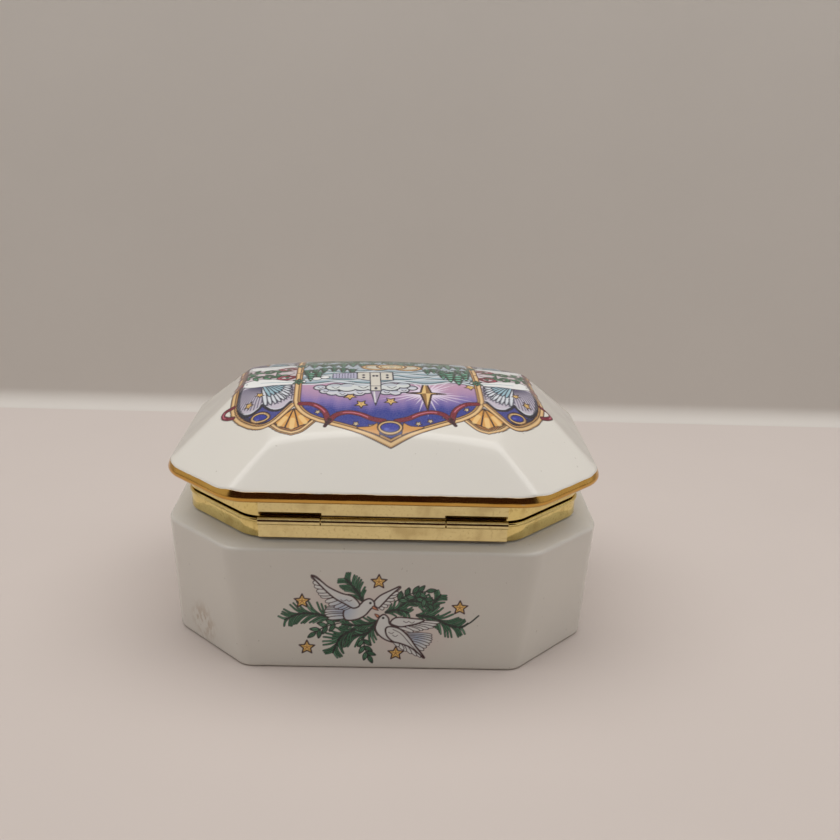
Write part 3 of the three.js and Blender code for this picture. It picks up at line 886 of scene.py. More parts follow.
class Shader:
    """A node material round one Principled shader, with short calls for its other nodes."""

    def __init__(self, name, **constants):
        self.material = bpy.data.materials.new(name)
        self.material.use_nodes = True
        self.tree = self.material.node_tree
        self.body = self.tree.nodes["Principled BSDF"]
        for socket, value in constants.items():
            self.body.inputs[socket.replace("_", " ")].default_value = value
        self.places = self.node("TexCoord").outputs["Object"]

    def node(self, kind, inputs=None, **settings):
        made = self.tree.nodes.new("ShaderNode" + kind)
        for setting, value in settings.items():
            setattr(made, setting, value)
        for socket, value in (inputs or {}).items():
            self.put(made.inputs[socket], value)
        return made

    def put(self, socket, value):
        if isinstance(value, bpy.types.NodeSocket):
            self.tree.links.new(value, socket)
        else:
            socket.default_value = value

    def set(self, **values):
        for socket, value in values.items():
            self.put(self.body.inputs[socket.replace("_", " ")], value)

    def noise(self, size, detail=2.0, stretch=(1, 1, 1), at=(0, 0, 0)):
        """Noise of 0 to 1 with blobs of about this size in millimetres."""
        spread = tuple(1 / (size * MM * along) for along in stretch)
        mapped = self.node("Mapping", {"Vector": self.places, "Scale": spread, "Location": at})
        made = self.node("TexNoise", {"Vector": mapped.outputs[0], "Scale": 1.0, "Detail": detail})
        return made.outputs[0]

    def remap(self, value, low, high, to_low=0.0, to_high=1.0):
        made = self.node("MapRange", {0: value, 1: low, 2: high, 3: to_low, 4: to_high})
        made.interpolation_type = "SMOOTHSTEP"
        return made.outputs[0]

    def blend(self, amount, first, second):
        made = self.node("Mix", {0: amount, 6: first, 7: second}, data_type="RGBA")
        return made.outputs[2]

    def maths(self, operation, first, second):
        return self.node("Math", {0: first, 1: second}, operation=operation).outputs[0]

    def times(self, first, second):
        return self.maths("MULTIPLY", first, second)

    def plus(self, first, second):
        return self.maths("ADD", first, second)

    def bump(self, height, distance, under=None):
        inputs = {"Height": height, "Distance": distance * MM, "Strength": 1.0}
        if under is not None:
            inputs["Normal"] = under
        return self.node("Bump", inputs).outputs[0]

    def spot(self, centre, radius):
        """1 at a place in millimetres, falling to 0 at the radius."""
        centre = Vector(centre) * MM
        apart = self.node("VectorMath", {0: self.places, 1: centre}, operation="DISTANCE")
        away = apart.outputs["Value"]
        return self.remap(away, 0.0, radius * MM, 1.0, 0.0)

    def inside(self, low, high, soft):
        """1 inside a box in millimetres, falling to 0 over its soft edges."""
        amount = 1.0
        for place, start, end in zip(self.node("SeparateXYZ", {0: self.places}).outputs, low, high):
            rise = self.remap(place, (start - soft) * MM, (start + soft) * MM)
            fall = self.remap(place, (end - soft) * MM, (end + soft) * MM, 1.0, 0.0)
            amount = self.times(amount, self.times(rise, fall))
        return amount


def solid_colour(red, green, blue):
    return (*ink(red, green, blue), 1.0)


def porcelain_material():
    """White porcelain under a clear glaze, with its fired print, gilt rim, specks and a stain."""
    shader = Shader("porcelain_glaze", IOR=1.52)
    cloud = shader.noise(24, 3.0)
    white = shader.blend(cloud, solid_colour(227, 222, 212), solid_colour(220, 216, 208))
    speck = shader.remap(shader.noise(1.1, 1.0), 0.76, 0.80)
    spotted = shader.blend(shader.times(speck, 0.3), white, solid_colour(150, 138, 120))
    stain = shader.spot(STAIN_PLACE, STAIN_RADIUS)
    blots = shader.remap(shader.noise(1.8, 6.0, stretch=(0.8, 0.8, 1.6)), 0.42, 0.62)
    stained = shader.times(shader.times(stain, blots), 0.85)
    ground = shader.blend(stained, spotted, solid_colour(158, 118, 66))
    picture = shader.node("Attribute", attribute_name="print")
    grain = shader.remap(shader.noise(0.35, 2.0), 0.3, 0.7, 0.95, 1.0)
    cover = shader.node("Attribute", attribute_name="cover").outputs["Fac"]
    cover = shader.times(cover, grain)
    printed = shader.blend(cover, ground, picture.outputs["Color"])
    edge = shader.node("Attribute", attribute_name="gilt").outputs["Fac"]
    wander = shader.times(shader.maths("SUBTRACT", shader.noise(4.0, 3.0), 0.5), 0.5)
    gilt = shader.remap(shader.plus(edge, wander), 0.95, 1.05)
    worn = shader.remap(shader.noise(0.9, 4.0, stretch=(3, 3, 1)), 0.7, 0.8, 1.0, 0.7)
    gilt = shader.times(gilt, worn)
    lustre = shader.blend(shader.noise(6.0, 2.0), solid_colour(226, 182, 96), solid_colour(206, 150, 66))
    finish = shader.remap(shader.noise(9.0, 3.0), 0.3, 0.7, 0.10, 0.16)
    finish = shader.plus(finish, shader.times(cover, 0.06))
    finish = shader.plus(finish, shader.times(gilt, 0.06))
    waves = shader.bump(shader.noise(7.0, 1.0), 0.025)
    peel = shader.bump(shader.noise(0.8, 2.0), 0.0012, waves)
    relief = shader.bump(cover, 0.006, peel)
    brushed = shader.times(shader.noise(1.3, 2.0, stretch=(5, 5, 1)), gilt)
    relief = shader.bump(brushed, 0.05, relief)
    shader.set(
        Base_Color=shader.blend(gilt, printed, lustre),
        Metallic=gilt,
        Roughness=finish,
        Normal=relief,
    )
    return shader.material


def bisque_material():
    """The unglazed foot ring, matte and a little grubby."""
    shader = Shader("bisque_foot", IOR=1.45)
    dirt = shader.remap(shader.noise(1.6, 5.0), 0.35, 0.75)
    shader.set(
        Base_Color=shader.blend(dirt, solid_colour(222, 216, 204), solid_colour(168, 156, 140)),
        Roughness=shader.remap(dirt, 0.0, 1.0, 0.7, 0.9),
        Normal=shader.bump(shader.noise(0.25, 4.0), 0.03),
    )
    return shader.material


# Painted shade on the brass: how soft the edges of its boxes are, and how far they darken towards dark
# brown.
PAINTED_SHADE_SOFT = 0.12
PAINTED_SHADE_AMOUNT = 0.85


def brass_material(name, light, dark, tarnish, painted_shade_boxes=()):
    """Polished brass with hairline polish marks along X, tarnish in patches, and painted shade: each box
    given, a gap or crevice that falls in shadow, is darkened towards dark brown.
    """
    shader = Shader(name, Metallic=1.0)
    light, dark = solid_colour(*light), solid_colour(*dark)
    hairs = shader.noise(0.12, 3.0, stretch=(40, 1, 1))
    patches = shader.remap(shader.noise(5.0, 4.0), 0.48, 0.75)
    fine = shader.remap(shader.noise(0.7, 4.0, at=(3, 1, 2)), 0.5, 0.75)
    aged = shader.times(shader.maths("MAXIMUM", patches, fine), tarnish)
    tone = shader.blend(aged, light, dark)
    # Painted shade: darkens each box, a gap or crevice that falls in shadow, towards dark reddish brown.
    for low, high in painted_shade_boxes:
        painted_shade = shader.times(shader.inside(low, high, PAINTED_SHADE_SOFT), PAINTED_SHADE_AMOUNT)
        tone = shader.blend(painted_shade, tone, solid_colour(58, 24, 14))
    dull = shader.plus(aged, shader.times(hairs, 0.5))
    shader.set(
        Base_Color=shader.blend(shader.times(hairs, 0.18), tone, dark),
        Roughness=shader.remap(dull, 0.1, 1.0, 0.05, 0.28),
        Normal=shader.bump(hairs, 0.002, shader.bump(shader.noise(4.0, 1.0), 0.05)),
    )
    return shader.material


def cement_material():
    """Matte, grainy plaster."""
    shader = Shader("cement_bed", IOR=1.4)
    grain = shader.noise(0.5, 5.0)
    shader.set(
        Base_Color=shader.blend(grain, solid_colour(205, 198, 182), solid_colour(176, 168, 150)),
        Roughness=shader.remap(grain, 0.0, 1.0, 0.8, 0.95),
        Normal=shader.bump(grain, 0.08),
    )
    return shader.material


# ---- Porcelain body and lid ----

SHOULDER_TURN = math.radians(72)
BISQUE_TOP = 0.2
# The foot ring's inner side: depth past the ring's width, and height.
FOOT_CURVE = ((3, FOOT_RECESS), (1.6, 1.15), (1.2, 1.0), (0.4, 0.25), (0, 0.06), (-0.3, 0))


def between(first, second, part):
    return Outline(*(a + (b - a) * part for a, b in zip(first, second)))


def wall_outline(height):
    return between(BASE_FOOT, BASE_TOP, (height - FOOT_RADIUS) / (WALL_TOP - FOOT_RADIUS))


def base_porcelain(glaze, bisque):
    """The base in one skin, glazed all over but for the foot ring it stood on in the kiln."""
    rings = []

    def ring(shape, height):
        rings.append(at_height(cornered(shape), height))

    ring(inset(BASE_FOOT, 20), FOOT_RECESS)
    for depth, height in FOOT_CURVE:
        ring(inset(BASE_FOOT, FOOT_RADIUS + FOOT_WIDTH + depth), height)
    ring(inset(BASE_FOOT, FOOT_RADIUS + 0.3), 0)
    for turn in quarter(6):
        ring(inset(BASE_FOOT, FOOT_RADIUS * (1 - math.sin(turn))), FOOT_RADIUS * (1 - math.cos(turn)))
    for height in (FOOT_RADIUS + 0.4, WALL_TOP / 2, WALL_TOP - 0.4):
        ring(wall_outline(height), height)
    for turn in np.linspace(0, SHOULDER_TURN, 9):
        depth = SHOULDER_RADIUS * (1 - math.cos(turn))
        ring(inset(BASE_TOP, depth), WALL_TOP + SHOULDER_RADIUS * math.sin(turn))
    for depth, height in ((0.8, SHOULDER_TOP - 0.1), (0.5 * NECK_OUT, SHOULDER_TOP)):
        ring(inset(COLLAR, depth), height)
    neck = [(NECK_OUT, SHOULDER_TOP), (NECK_OUT, BASE_NECK_TOP), (NECK_IN, BASE_NECK_TOP),
            (NECK_IN, SHOULDER_TOP - 0.5)]
    for depth, height in softened(neck, NECK_ROUND):
        ring(inset(COLLAR, depth), height)
    for part in (0.25, 0.5, 0.75):
        turn = part * math.pi / 2
        low, high = CAVITY_TOP, SHOULDER_TOP - 0.5
        shape = between(inset(COLLAR, NECK_IN), inset(BASE_TOP, PORCELAIN), math.sin(turn))
        ring(shape, low + (high - low) * math.cos(turn))
    for height in (CAVITY_TOP, CAVITY_TOP / 2, FLOOR_TOP + FLOOR_FILLET + 0.5):
        ring(inset(wall_outline(height), PORCELAIN), height)
    for turn in quarter(8):
        depth = PORCELAIN + FLOOR_FILLET * (1 - math.cos(turn))
        ring(inset(BASE_FOOT, depth), FLOOR_TOP + FLOOR_FILLET * (1 - math.sin(turn)))
    ring(inset(BASE_FOOT, PORCELAIN + FLOOR_FILLET + 2), FLOOR_TOP)
    piece = skin("base_porcelain", rings, [[0, 0, FOOT_RECESS], [0, 0, FLOOR_TOP]])
    piece.data.materials.append(glaze)
    piece.data.materials.append(bisque)
    for face in piece.data.polygons:
        if face.center.z < BISQUE_TOP * MM:
            face.material_index = 1
    return piece


def lid_height(x, y, wall=0.0):
    """A low dome cut by eight sloping facets, its creases softer towards the top."""
    reach = np.sqrt(np.hypot((x / RIM.x) ** 2, (y / RIM.y) ** 2))
    rise = np.clip((reach - 0.7) / 0.3, 0, 1)
    crease = CREASE_ON_TOP + (CREASE_AT_RIM - CREASE_ON_TOP) * rise ** 2 * (3 - 2 * rise)
    across, deep = np.abs(x), np.abs(y)
    cut = (RIM.x + RIM.y - RIM.leg - across - deep) / math.sqrt(2)
    runs = ((RIM.y - deep, SIDE_SLOPE), (RIM.x - across, END_SLOPE), (cut, CORNER_SLOPE))
    surfaces = [LID_TOP - wall - DOME_X * x * x - DOME_Y * y * y]
    surfaces += [FACET_START + run * slope - wall * math.hypot(1, slope) for run, slope in runs]
    return -crease * np.log(sum(np.exp(-surface / crease) for surface in surfaces))


def on_lid(points, wall=0.0):
    return np.column_stack([points, lid_height(points[:, 0], points[:, 1], wall)])


TOP_HALF = 256
TOP_FACTOR = 0.97
STEP_DOWN = 4


def lid_top():
    """The lid's top as nested squares of a grid, each laid on a scaled copy of the rim's outline.

    It gives the points, the quads, and the indices of the outermost ring in order.
    """
    line = np.arange(-TOP_HALF, TOP_HALF + 1)
    i, j = (axis.ravel() for axis in np.meshgrid(line, line, indexing="ij"))
    level = np.maximum(np.abs(i), np.abs(j))
    place = np.select([i == level, j == level, i == -level], [j, 2 * level - i, 4 * level - j],
                      6 * level + i)
    share = np.mod(place / np.maximum(8 * level, 1), 1.0)
    loop = evenly(RIM, 8 * TOP_HALF)
    loop = np.vstack([loop, loop[:1]])
    marks = np.linspace(0, 1, len(loop))
    size = level / TOP_HALF * TOP_FACTOR
    points = np.column_stack([size * np.interp(share, marks, loop[:, axis]) for axis in (0, 1)])
    outer = np.flatnonzero(level == TOP_HALF)
    outer = outer[np.argsort(np.mod(place[outer], 8 * TOP_HALF))]
    return points, grid_quads(len(line), len(line)), outer


LID_PICTURE_TURN = -2.4
NOSE_TURN = 20
BEND_DEPTH, BEND_DROP = 0.5, 0.27
FACET_DEPTH = 0.8
GILT_PART = 0.62
GILT_BELOW = 1.5


def lid_rim(fine):
    """The rings from the facets' foot round the rim's nose, each with how gilt it is.

    Below a facet the rim falls in a steep curved band, then turns round its nose to the underside.
    """
    facet_foot = lid_height(*evenly(inset(RIM, FACET_DEPTH), fine).T)
    nose_depth = RIM_RADIUS * (1 - math.cos(math.radians(NOSE_TURN)))
    nose_head = RIM_HEIGHT + RIM_RADIUS * math.sin(math.radians(NOSE_TURN))
    rings = [(on_lid(evenly(scaled(RIM, 0.98), fine)), 0)]
    for part in np.linspace(1, 0, 8):
        upper, bend, lower = part ** 2, 2 * part * (1 - part), (1 - part) ** 2
        depth = upper * FACET_DEPTH + bend * BEND_DEPTH + lower * nose_depth
        height = upper * facet_foot + bend * (facet_foot - BEND_DROP) + lower * nose_head
        ring = np.column_stack([evenly(inset(RIM, depth), fine), height])
        rings.append((ring, 1 + (GILT_PART - part) * 2))
    for turn in np.radians(np.arange(NOSE_TURN - 10, -91, -10)):
        points = evenly(inset(RIM, RIM_RADIUS * (1 - math.cos(turn))), fine)
        rings.append((at_height(points, RIM_HEIGHT + RIM_RADIUS * math.sin(turn)), 1 + GILT_BELOW + turn))
    return rings


def lid_underside(coarse):
    """The rings from under the rim, round the neck, and up inside the dome."""
    neck = [(NECK_OUT, LID_UNDERSIDE - 0.2), (NECK_OUT, LID_NECK_END), (NECK_IN, LID_NECK_END),
            (NECK_IN, LID_UNDERSIDE + 3)]
    levels = [(inset(RIM, 2.5), LID_UNDERSIDE + 0.1), (inset(COLLAR, -0.6), LID_UNDERSIDE),
              (inset(COLLAR, NECK_OUT - 0.3), LID_UNDERSIDE)]
    levels += [(inset(COLLAR, depth), height) for depth, height in softened(neck, NECK_ROUND)]
    rings = [at_height(evenly(shape, coarse), height) for shape, height in levels]
    mouth = inset(COLLAR, NECK_IN)
    for factor in (0.995, 0.98, 0.95, 0.9, 0.82, 0.74, 0.66, 0.56, 0.44, 0.3, 0.16, 0.05):
        rings.append(on_lid(evenly(scaled(mouth, factor), coarse), PORCELAIN))
    return rings


def lid_porcelain():
    """The lid in one skin, with the picture and the gilt band kept as point attributes."""
    top, quads, outer = lid_top()
    fine, coarse = 8 * TOP_HALF, 8 * TOP_HALF // STEP_DOWN
    rim, under = lid_rim(fine), lid_underside(coarse)
    rim_start = len(top)
    under_start = rim_start + len(rim) * fine
    pole = under_start + len(under) * coarse
    order = np.append(outer, outer[0])
    here = rim_start + np.arange(fine)
    faces = [quads, np.column_stack([order[:-1], order[1:], np.roll(here, -1), here])]
    faces += bands(rim_start, len(rim), fine)
    faces.append(stepped(under_start - fine, under_start, coarse))
    faces += bands(under_start, len(under), coarse)
    faces.append(fan(pole, pole - coarse, coarse, False))
    crown = [0, 0, lid_height(0, 0, PORCELAIN)]
    vertices = np.vstack([on_lid(top), *(ring for ring, gilt in rim), *under, crown])
    piece = solid("lid_porcelain", vertices, faces)
    laid = top @ turned(LID_PICTURE_TURN)
    picture = Print(laid[:, 0], laid[:, 1])
    paint_lid(picture)
    keep_print(piece, picture)
    keep_amounts(piece, "gilt", np.repeat([gilt for ring, gilt in rim], fine), rim_start)
    return piece


def stepped(fine, coarse, count):
    """Triangles from a ring to another with a quarter as many points."""
    triangles = []
    for i in range(count):
        ring = [fine + (STEP_DOWN * i + step) % (STEP_DOWN * count) for step in range(STEP_DOWN + 1)]
        here, following = coarse + i, coarse + (i + 1) % count
        half = STEP_DOWN // 2
        triangles += [(ring[step], ring[step + 1], here) for step in range(half)]
        triangles.append((ring[half], following, here))
        triangles += [(ring[step], ring[step + 1], following) for step in range(half, STEP_DOWN)]
    return np.array(triangles)


def keep_amounts(piece, name, amounts, start=0):
    """Stores an amount on a run of a piece's points; the others get 0."""
    stored = np.zeros(len(piece.data.vertices), np.float32)
    stored[start:start + len(amounts)] = amounts
    piece.data.attributes.new(name, "FLOAT", "POINT").data.foreach_set("value", stored)


def keep_print(piece, picture):
    """Stores a picture on the first points of a piece; the rest stay bare."""
    colours = np.ones((len(piece.data.vertices), 4), np.float32)
    colours[:len(picture.rgb), :3] = picture.rgb
    layer = piece.data.color_attributes.new("print", "FLOAT_COLOR", "POINT")
    layer.data.foreach_set("color", colours.ravel())
    keep_amounts(piece, "cover", picture.cover)


PRINT_STEP = 0.15
PRINT_REACH = 27.5
PRINT_LOW = 1.3
PRINT_TOP = 28.6
PRINT_LIFT = 0.02


def wall_print(name, side):
    """A thin transfer on the front (side -1) or back (side 1) wall, holding the dove picture."""
    u = np.arange(-PRINT_REACH, PRINT_REACH, PRINT_STEP)
    v = np.arange(PRINT_LOW, PRINT_TOP, PRINT_STEP)
    across, up = (axis.ravel() for axis in np.meshgrid(u, v))
    part = (up - FOOT_RADIUS) / (WALL_TOP - FOOT_RADIUS)
    wall = BASE_FOOT.y + (BASE_TOP.y - BASE_FOOT.y) * part + PRINT_LIFT
    vertices = np.column_stack([-side * across, side * wall, up])
    piece = solid(name, vertices, [grid_quads(len(v), len(u))])
    if piece.data.polygons[0].normal.y * side < 0:
        piece.data.flip_normals()
    picture = Print(across, up)
    paint_doves(picture)
    keep_print(piece, picture)
    return piece


# ---- Brass ----

EDGE_BEVEL = 0.07


def collar_ring(name, section, radius):
    """A closed section swept round the collar's outline. Nothing stands out behind the hinge leaf."""
    flush = cornered(COLLAR, steps=14)
    behind_leaf = (flush[:, 1] > 0) & (np.abs(flush[:, 0]) < HINGE_WIDTH / 2 + 0.4)
    rings = []
    for depth, height in filleted(section, radius):
        points = cornered(inset(COLLAR, depth), steps=14)
        if depth < 0:
            points[behind_leaf] = flush[behind_leaf]
        rings.append(at_height(points, height))
    return skin(name, rings)


def folded(end, split, way):
    """A collar's fold from its split edge: down its skirt, and back under its outer wall to its end."""
    return [(SKIRT_IN, split), (SKIRT_IN, split + way * COLLAR_SKIRT),
            (SKIRT_OUT, split + way * COLLAR_SKIRT), (SKIRT_OUT, split + way * SHEET),
            (SHEET, split + way * SHEET), (SHEET, end)]


def lower_collar():
    """A channel folded over the neck, with a round lip rolled along its top edge."""
    lip = [(-LIP * math.sin(turn), SPLIT_LOW - 0.5 - 0.5 * math.cos(turn))
           for turn in np.linspace(0, math.pi, 7)]
    outside = [(0, COLLAR_FOOT), (0, SPLIT_LOW - 1.5), *lip]
    return collar_ring("collar_lower", outside + folded(COLLAR_FOOT, SPLIT_LOW, -1), 0.12)


def upper_collar():
    outside = [(0, COLLAR_HEAD), (0, SPLIT_HIGH)]
    return collar_ring("collar_upper", outside + folded(COLLAR_HEAD, SPLIT_HIGH, 1), 0.2)


def sheet_metal(name, path, stations, keep, thickness=SHEET):
    """Sheet brass bent along a path of (y, z) points, between stations along X. keep says which
    quads stay, from their middle's x and their step on the path."""
    stations = np.array(stations)
    vertices = np.array([(x, y, z) for x in stations for y, z in path])
    middles = np.repeat((stations[1:] + stations[:-1]) / 2, len(path) - 1)
    steps = np.tile(np.arange(len(path) - 1), len(stations) - 1)
    quads = grid_quads(len(stations), len(path))[keep(middles, steps)]
    used = np.unique(quads)
    piece = new_piece(name, vertices[used], np.searchsorted(used, quads).tolist())
    walls = piece.modifiers.new("walls", "SOLIDIFY")
    walls.thickness = thickness * MM
    walls.offset = 0.0
    walls.use_even_offset = True
    edges = piece.modifiers.new("edges", "BEVEL")
    edges.width = EDGE_BEVEL * MM
    edges.segments = 2
    edges.limit_method = "ANGLE"
    edges.angle_limit = math.radians(50)
    edges.harden_normals = True
    return piece


def leaf_path(foot, direction):
    """Up a plate and round the pin: a straight run, then most of a turn."""
    roll = KNUCKLE_RADIUS - SHEET / 2
    plate = [(HINGE_Y - roll, height) for height in np.linspace(foot, HINGE_Z, 9)[:-1]]
    turns = np.radians(np.arange(0, 331, 15))
    curl = [(HINGE_Y - roll * math.cos(turn), HINGE_Z + direction * roll * math.sin(turn))
            for turn in turns]
    return plate + curl


def spread(edges, step):
    """Stations between these edges, no further apart than the step."""
    stations = [edges[0]]
    for left, right in zip(edges, edges[1:]):
        count = max(1, math.ceil((right - left) / step))
        stations += [left + (right - left) * (i + 1) / count for i in range(count)]
    return stations


PLATE_STEPS = 7
WIRE_SIDES = 32


def hinge_leaf(name, foot, direction, gap, keep):
    edges = [-HINGE_WIDTH / 2, -gap, gap, HINGE_WIDTH / 2]
    return sheet_metal(name, leaf_path(foot, direction), spread(edges, 2.0), keep)


def lower_leaf():
    """The leaf on the lower collar, with the two outer knuckles rolled from its top edge."""
    gap = CENTRE_KNUCKLE / 2 + KNUCKLE_GAP / 2
    return hinge_leaf("hinge_leaf_lower", LEAF_FOOT, 1, gap,
                      lambda x, step: (abs(x) > gap) | (step < PLATE_STEPS - 1))


def upper_leaf():
    """The leaf on the upper collar, with the centre knuckle rolled from its bottom edge."""
    gap = CENTRE_KNUCKLE / 2 - KNUCKLE_GAP / 2
    return hinge_leaf("hinge_leaf_upper", LEAF_HEAD, -1, gap,
                      lambda x, step: (abs(x) < gap) | (step < PLATE_STEPS - 2))


def pin():
    """Drawn wire with lightly peened, domed ends."""
    centre = np.array([0, HINGE_Y, HINGE_Z])
    turns = np.arange(WIRE_SIDES) / WIRE_SIDES * 2 * math.pi
    profile = [(PIN_START, 0.2), (PIN_START + 0.05, 0.36), (PIN_START + 0.2, PIN_RADIUS),
               (PIN_START + 0.6, PIN_RADIUS - 0.02)]
    profile += [(-x, radius) for x, radius in reversed(profile)]
    rings = []
    for x, radius in profile:
        circle = [np.full(WIRE_SIDES, x), radius * np.cos(turns), radius * np.sin(turns)]
        rings.append(centre + np.column_stack(circle))
    dome = (PIN_START - 0.03, 0, 0)
    return skin("hinge_pin_wire", rings, [centre + dome, centre - dome])


def tongue():
    """The sprung tongue of the clasp, narrowest in the middle, with a lip for the thumb."""
    pad = -(COLLAR.y + CLEARANCE + TONGUE_SHEET / 2)
    stand = -(COLLAR.y + TONGUE_STANDOFF + TONGUE_SHEET / 2)
    path = curve([(pad, TONGUE_TOP), (pad, 42.0), (pad, 40.5), (stand, 39.5), (stand, 37.9), (stand, 36.6),
                  (stand - 0.6, 35.7), (stand - 1.5, 35.2)], steps=4)
    half = TONGUE_WIDTH / 2
    piece = sheet_metal("tongue", path, spread([-half, half], 0.5), lambda x, step: step >= 0,
                        TONGUE_SHEET - 0.1)
    for vertex in piece.data.vertices:
        drop = min(max((TONGUE_TOP * MM - vertex.co.z) / (TONGUE_DROP * MM), 0), 1)
        waist = math.sin(math.pi * min(drop * 1.15, 1)) * (1 - 0.3 * drop)
        vertex.co.x *= 1 - TONGUE_WAIST * waist
    return piece


def catch():
    """The rounded bead that the tongue snaps over."""
    back = -(COLLAR.y + CLEARANCE)
    profile = [(-CATCH_HALF, 0.2), (-CATCH_HALF + 0.05, 0.6), (-CATCH_HALF + 0.3, 0.9),
               (-CATCH_HALF + 0.7, 1.0)]
    profile += [(-x, size) for x, size in reversed(profile)]
    turns = np.linspace(0, math.pi, 13)
    rings = []
    for x, size in profile:
        out, up = 0.6 * size * np.sin(turns), 0.8 * size * np.cos(turns)
        rings.append(np.column_stack([np.full(13, x), back - 0.01 - out, CATCH_Z + up]))
    return skin("catch", rings, [(x, back - 0.03, CATCH_Z) for x in (-CATCH_HALF, CATCH_HALF)])


# ---- Room, light and camera ----

FLOOR_HALF = 900.0
WALL_Y = -165.0
COVE = 7.0
# Half width, foot, head and distance of the card.
CARD = (900.0, 4.0, 640.0, 700.0)

LAMP_TONE = (1.0, 0.985, 0.97)
# Name, place and aim, size across and deep, and power in watts.
LAMPS = (
    ("softbox", (0, 20, 620), (0, 20, 0), (1300, 800), 3.65),
    ("strip", (0, -60, 618), (0, -60, 0), (1000, 360), 1.6),
    ("side", (-620, 60, 260), (0, 60, 60), (900, 420), 0.45),
    ("side", (620, 60, 260), (0, 60, 60), (900, 420), 0.45),
)
WORLD_TONE = (0.80, 0.77, 0.75, 1.0)
WORLD_STRENGTH = 0.18

CAMERA_PLACE = (-1.29, 257.45, 139.40)
CAMERA_FORWARD = (-0.0288, -0.9469, -0.3202)
CAMERA_RIGHT = (-0.9993, 0.0195, 0.0321)
CAMERA_UP = (0.0241, -0.3209, 0.9468)
CAMERA_LENS = 42.87


def room_material(name, tone, wall):
    """Matte painted board. The wall is seen only from inside the room."""
    shader = Shader(name, Roughness=0.85, Specular_IOR_Level=0.2)
    grain = shader.noise(60, 3.0)
    low, high = (np.array(tone) * factor for factor in (0.97, 1.02))
    shader.set(Base_Color=shader.blend(grain, (*low, 1.0), (*high, 1.0)))
    if wall:
        output = shader.tree.nodes["Material Output"]
        clear = shader.node("BsdfTransparent").outputs[0]
        facing = shader.node("NewGeometry").outputs["Backfacing"]
        mixed = shader.node("MixShader", {0: facing, 1: shader.body.outputs[0], 2: clear})
        shader.tree.links.new(mixed.outputs[0], output.inputs["Surface"])
    return shader.material


def sheet(name, vertices, quads):
    """A single surface of the room, which is no part of the box."""
    piece = new_piece(name, vertices, quads)
    return piece


def floor():
    line = np.linspace(-FLOOR_HALF, FLOOR_HALF, 9)
    return sheet("floor", [(x, y, 0.0) for y in line for x in line], grid_quads(9, 9).tolist())


def wall():
    """A tall board behind the box, met by a cove at its foot."""
    turns = np.linspace(0, -math.pi / 2, 13)
    profile = [(WALL_Y + COVE * (1 - math.cos(turn)), COVE * (1 + math.sin(turn))) for turn in turns]
    profile = [(WALL_Y, FLOOR_HALF), *profile]
    vertices = [(x, y, z + 0.05) for x in (FLOOR_HALF, -FLOOR_HALF) for y, z in profile]
    return sheet("wall", vertices, grid_quads(2, len(profile)).tolist())


def dark_card():
    """The dim, reddish side of the room that polished metal facing the hinge side mirrors."""
    width, foot, head, y = CARD
    vertices = [(-width, y, foot), (width, y, foot), (width, y, head), (-width, y, head)]
    card = sheet("dark_card", vertices, [(0, 1, 2, 3)])
    card.data.materials.append(room_material("card_paint", ink(58, 26, 22), False))
    card.visible_camera = False
    card.visible_diffuse = False
    card.visible_shadow = False
    card.visible_transmission = False


def lamp(name, place, aim, size, power):
    light = bpy.data.lights.new(name, "AREA")
    light.shape = "RECTANGLE"
    light.size, light.size_y = (side * MM for side in size)
    light.energy = power
    light.color = LAMP_TONE
    holder = bpy.data.objects.new(name, light)
    holder.location = Vector(place) * MM
    way = (Vector(aim) - Vector(place)).normalized()
    holder.rotation_euler = way.to_track_quat("-Z", "Y").to_euler()
    bpy.context.scene.collection.objects.link(holder)


def stage():
    """The floor, the wall, the card and the lights, and a dim world."""
    floor().data.materials.append(room_material("floor_paint", ink(205, 194, 187), False))
    back = wall()
    back.data.materials.append(room_material("wall_paint", ink(209, 203, 196), True))
    back.visible_shadow = False
    back.visible_diffuse = False
    dark_card()
    for row in LAMPS:
        lamp(*row)
    world = bpy.data.worlds.new("room_light")
    world.use_nodes = True
    background = world.node_tree.nodes["Background"]
    background.inputs["Color"].default_value = WORLD_TONE
    background.inputs["Strength"].default_value = WORLD_STRENGTH
    scene = bpy.context.scene
    scene.world = world
    scene.view_settings.view_transform = "Standard"


def camera():
    lens = bpy.data.cameras.new("camera")
    lens.lens = CAMERA_LENS
    lens.sensor_width = 36.0
    lens.clip_start = 0.01
    holder = bpy.data.objects.new("camera", lens)
    back = -Vector(CAMERA_FORWARD)
    turn = Matrix((CAMERA_RIGHT, CAMERA_UP, back)).transposed().to_4x4()
    holder.matrix_world = Matrix.Translation(Vector(CAMERA_PLACE) * MM) @ turn
    bpy.context.scene.collection.objects.link(holder)
    bpy.context.scene.camera = holder


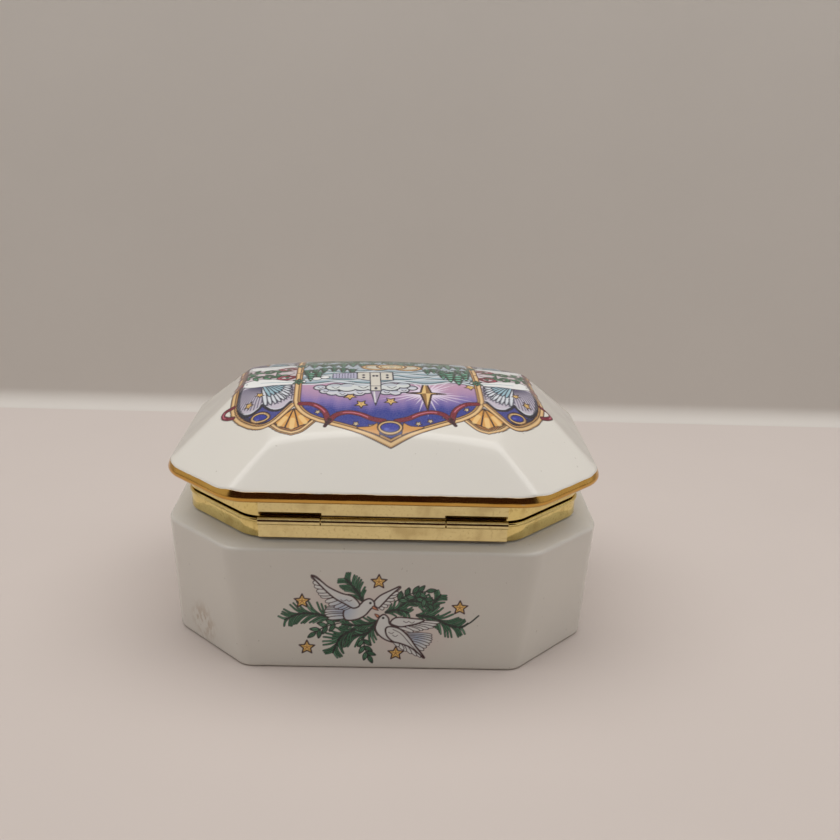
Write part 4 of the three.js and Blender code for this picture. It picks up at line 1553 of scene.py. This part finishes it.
# ---- Putting the box together ----

def dress(piece, material, body, slot, *nodes):
    """Gives a piece its material, and lets it ride on a body in place of CAD nodes. The slot is not used.
    """
    if not piece.data.materials:
        piece.data.materials.append(material)
    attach(piece, body)
    if nodes:
        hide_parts(*nodes)


def build():
    """Makes every visible piece, and finishes the two beds of cement that stay as CAD solids."""
    porcelain = porcelain_material()
    half, crown = HINGE_WIDTH / 2, HINGE_Z + KNUCKLE_RADIUS
    # Boxes of painted shade on the brass: the gaps above the knuckles, the crevice over the centre knuckle,
    # and the foot of the lower leaf.
    behind_knuckles = ((-half, COLLAR.y - 1, crown), (half, HINGE_Y + 1, crown + 1.6))
    over_knuckle = ((-half, COLLAR.y, crown), (half, HINGE_Y + 1, crown + 0.5))
    under_leaf = ((-half, COLLAR.y, LEAF_FOOT - 1), (half, HINGE_Y + 1, LEAF_FOOT + 0.15))
    plate = brass_material("collar_brass_plate", (246, 224, 150), (168, 136, 62), 0.45, [behind_knuckles])
    bright = brass_material("hinge_brass_sheet", (242, 224, 164), (150, 118, 60), 0.35,
                            [over_knuckle, under_leaf])
    wire = brass_material("pin_brass_wire", (214, 186, 122), (120, 94, 50), 0.6)
    cement = cement_material()
    dress(base_porcelain(porcelain, bisque_material()), porcelain, "base", "porcelain", "base_body")
    dress(wall_print("base_print_back", 1), porcelain, "base", "decoration")
    dress(wall_print("base_print_front", -1), porcelain, "base", "decoration")
    dress(lid_porcelain(), porcelain, "lid", "porcelain", "lid_shell")
    dress(lower_collar(), plate, "base", "collar_brass", "lower_collar")
    dress(upper_collar(), plate, "lid", "collar_brass", "upper_collar")
    dress(lower_leaf(), bright, "base", "hinge_brass", "lower_hinge_leaf")
    dress(upper_leaf(), bright, "lid", "hinge_brass", "upper_hinge_leaf")
    dress(pin(), wire, "base", "pin_brass", "hinge_pin")
    dress(tongue(), bright, "lid", "clasp_brass", "clasp_tongue")
    dress(catch(), bright, "base", "clasp_brass", "clasp_catch")
    for node in ("lower_cement", "upper_cement"):
        packed = frame["nodes"][node]
        packed.data.materials.clear()
        packed.data.materials.append(cement)


camera()
stage()
build()
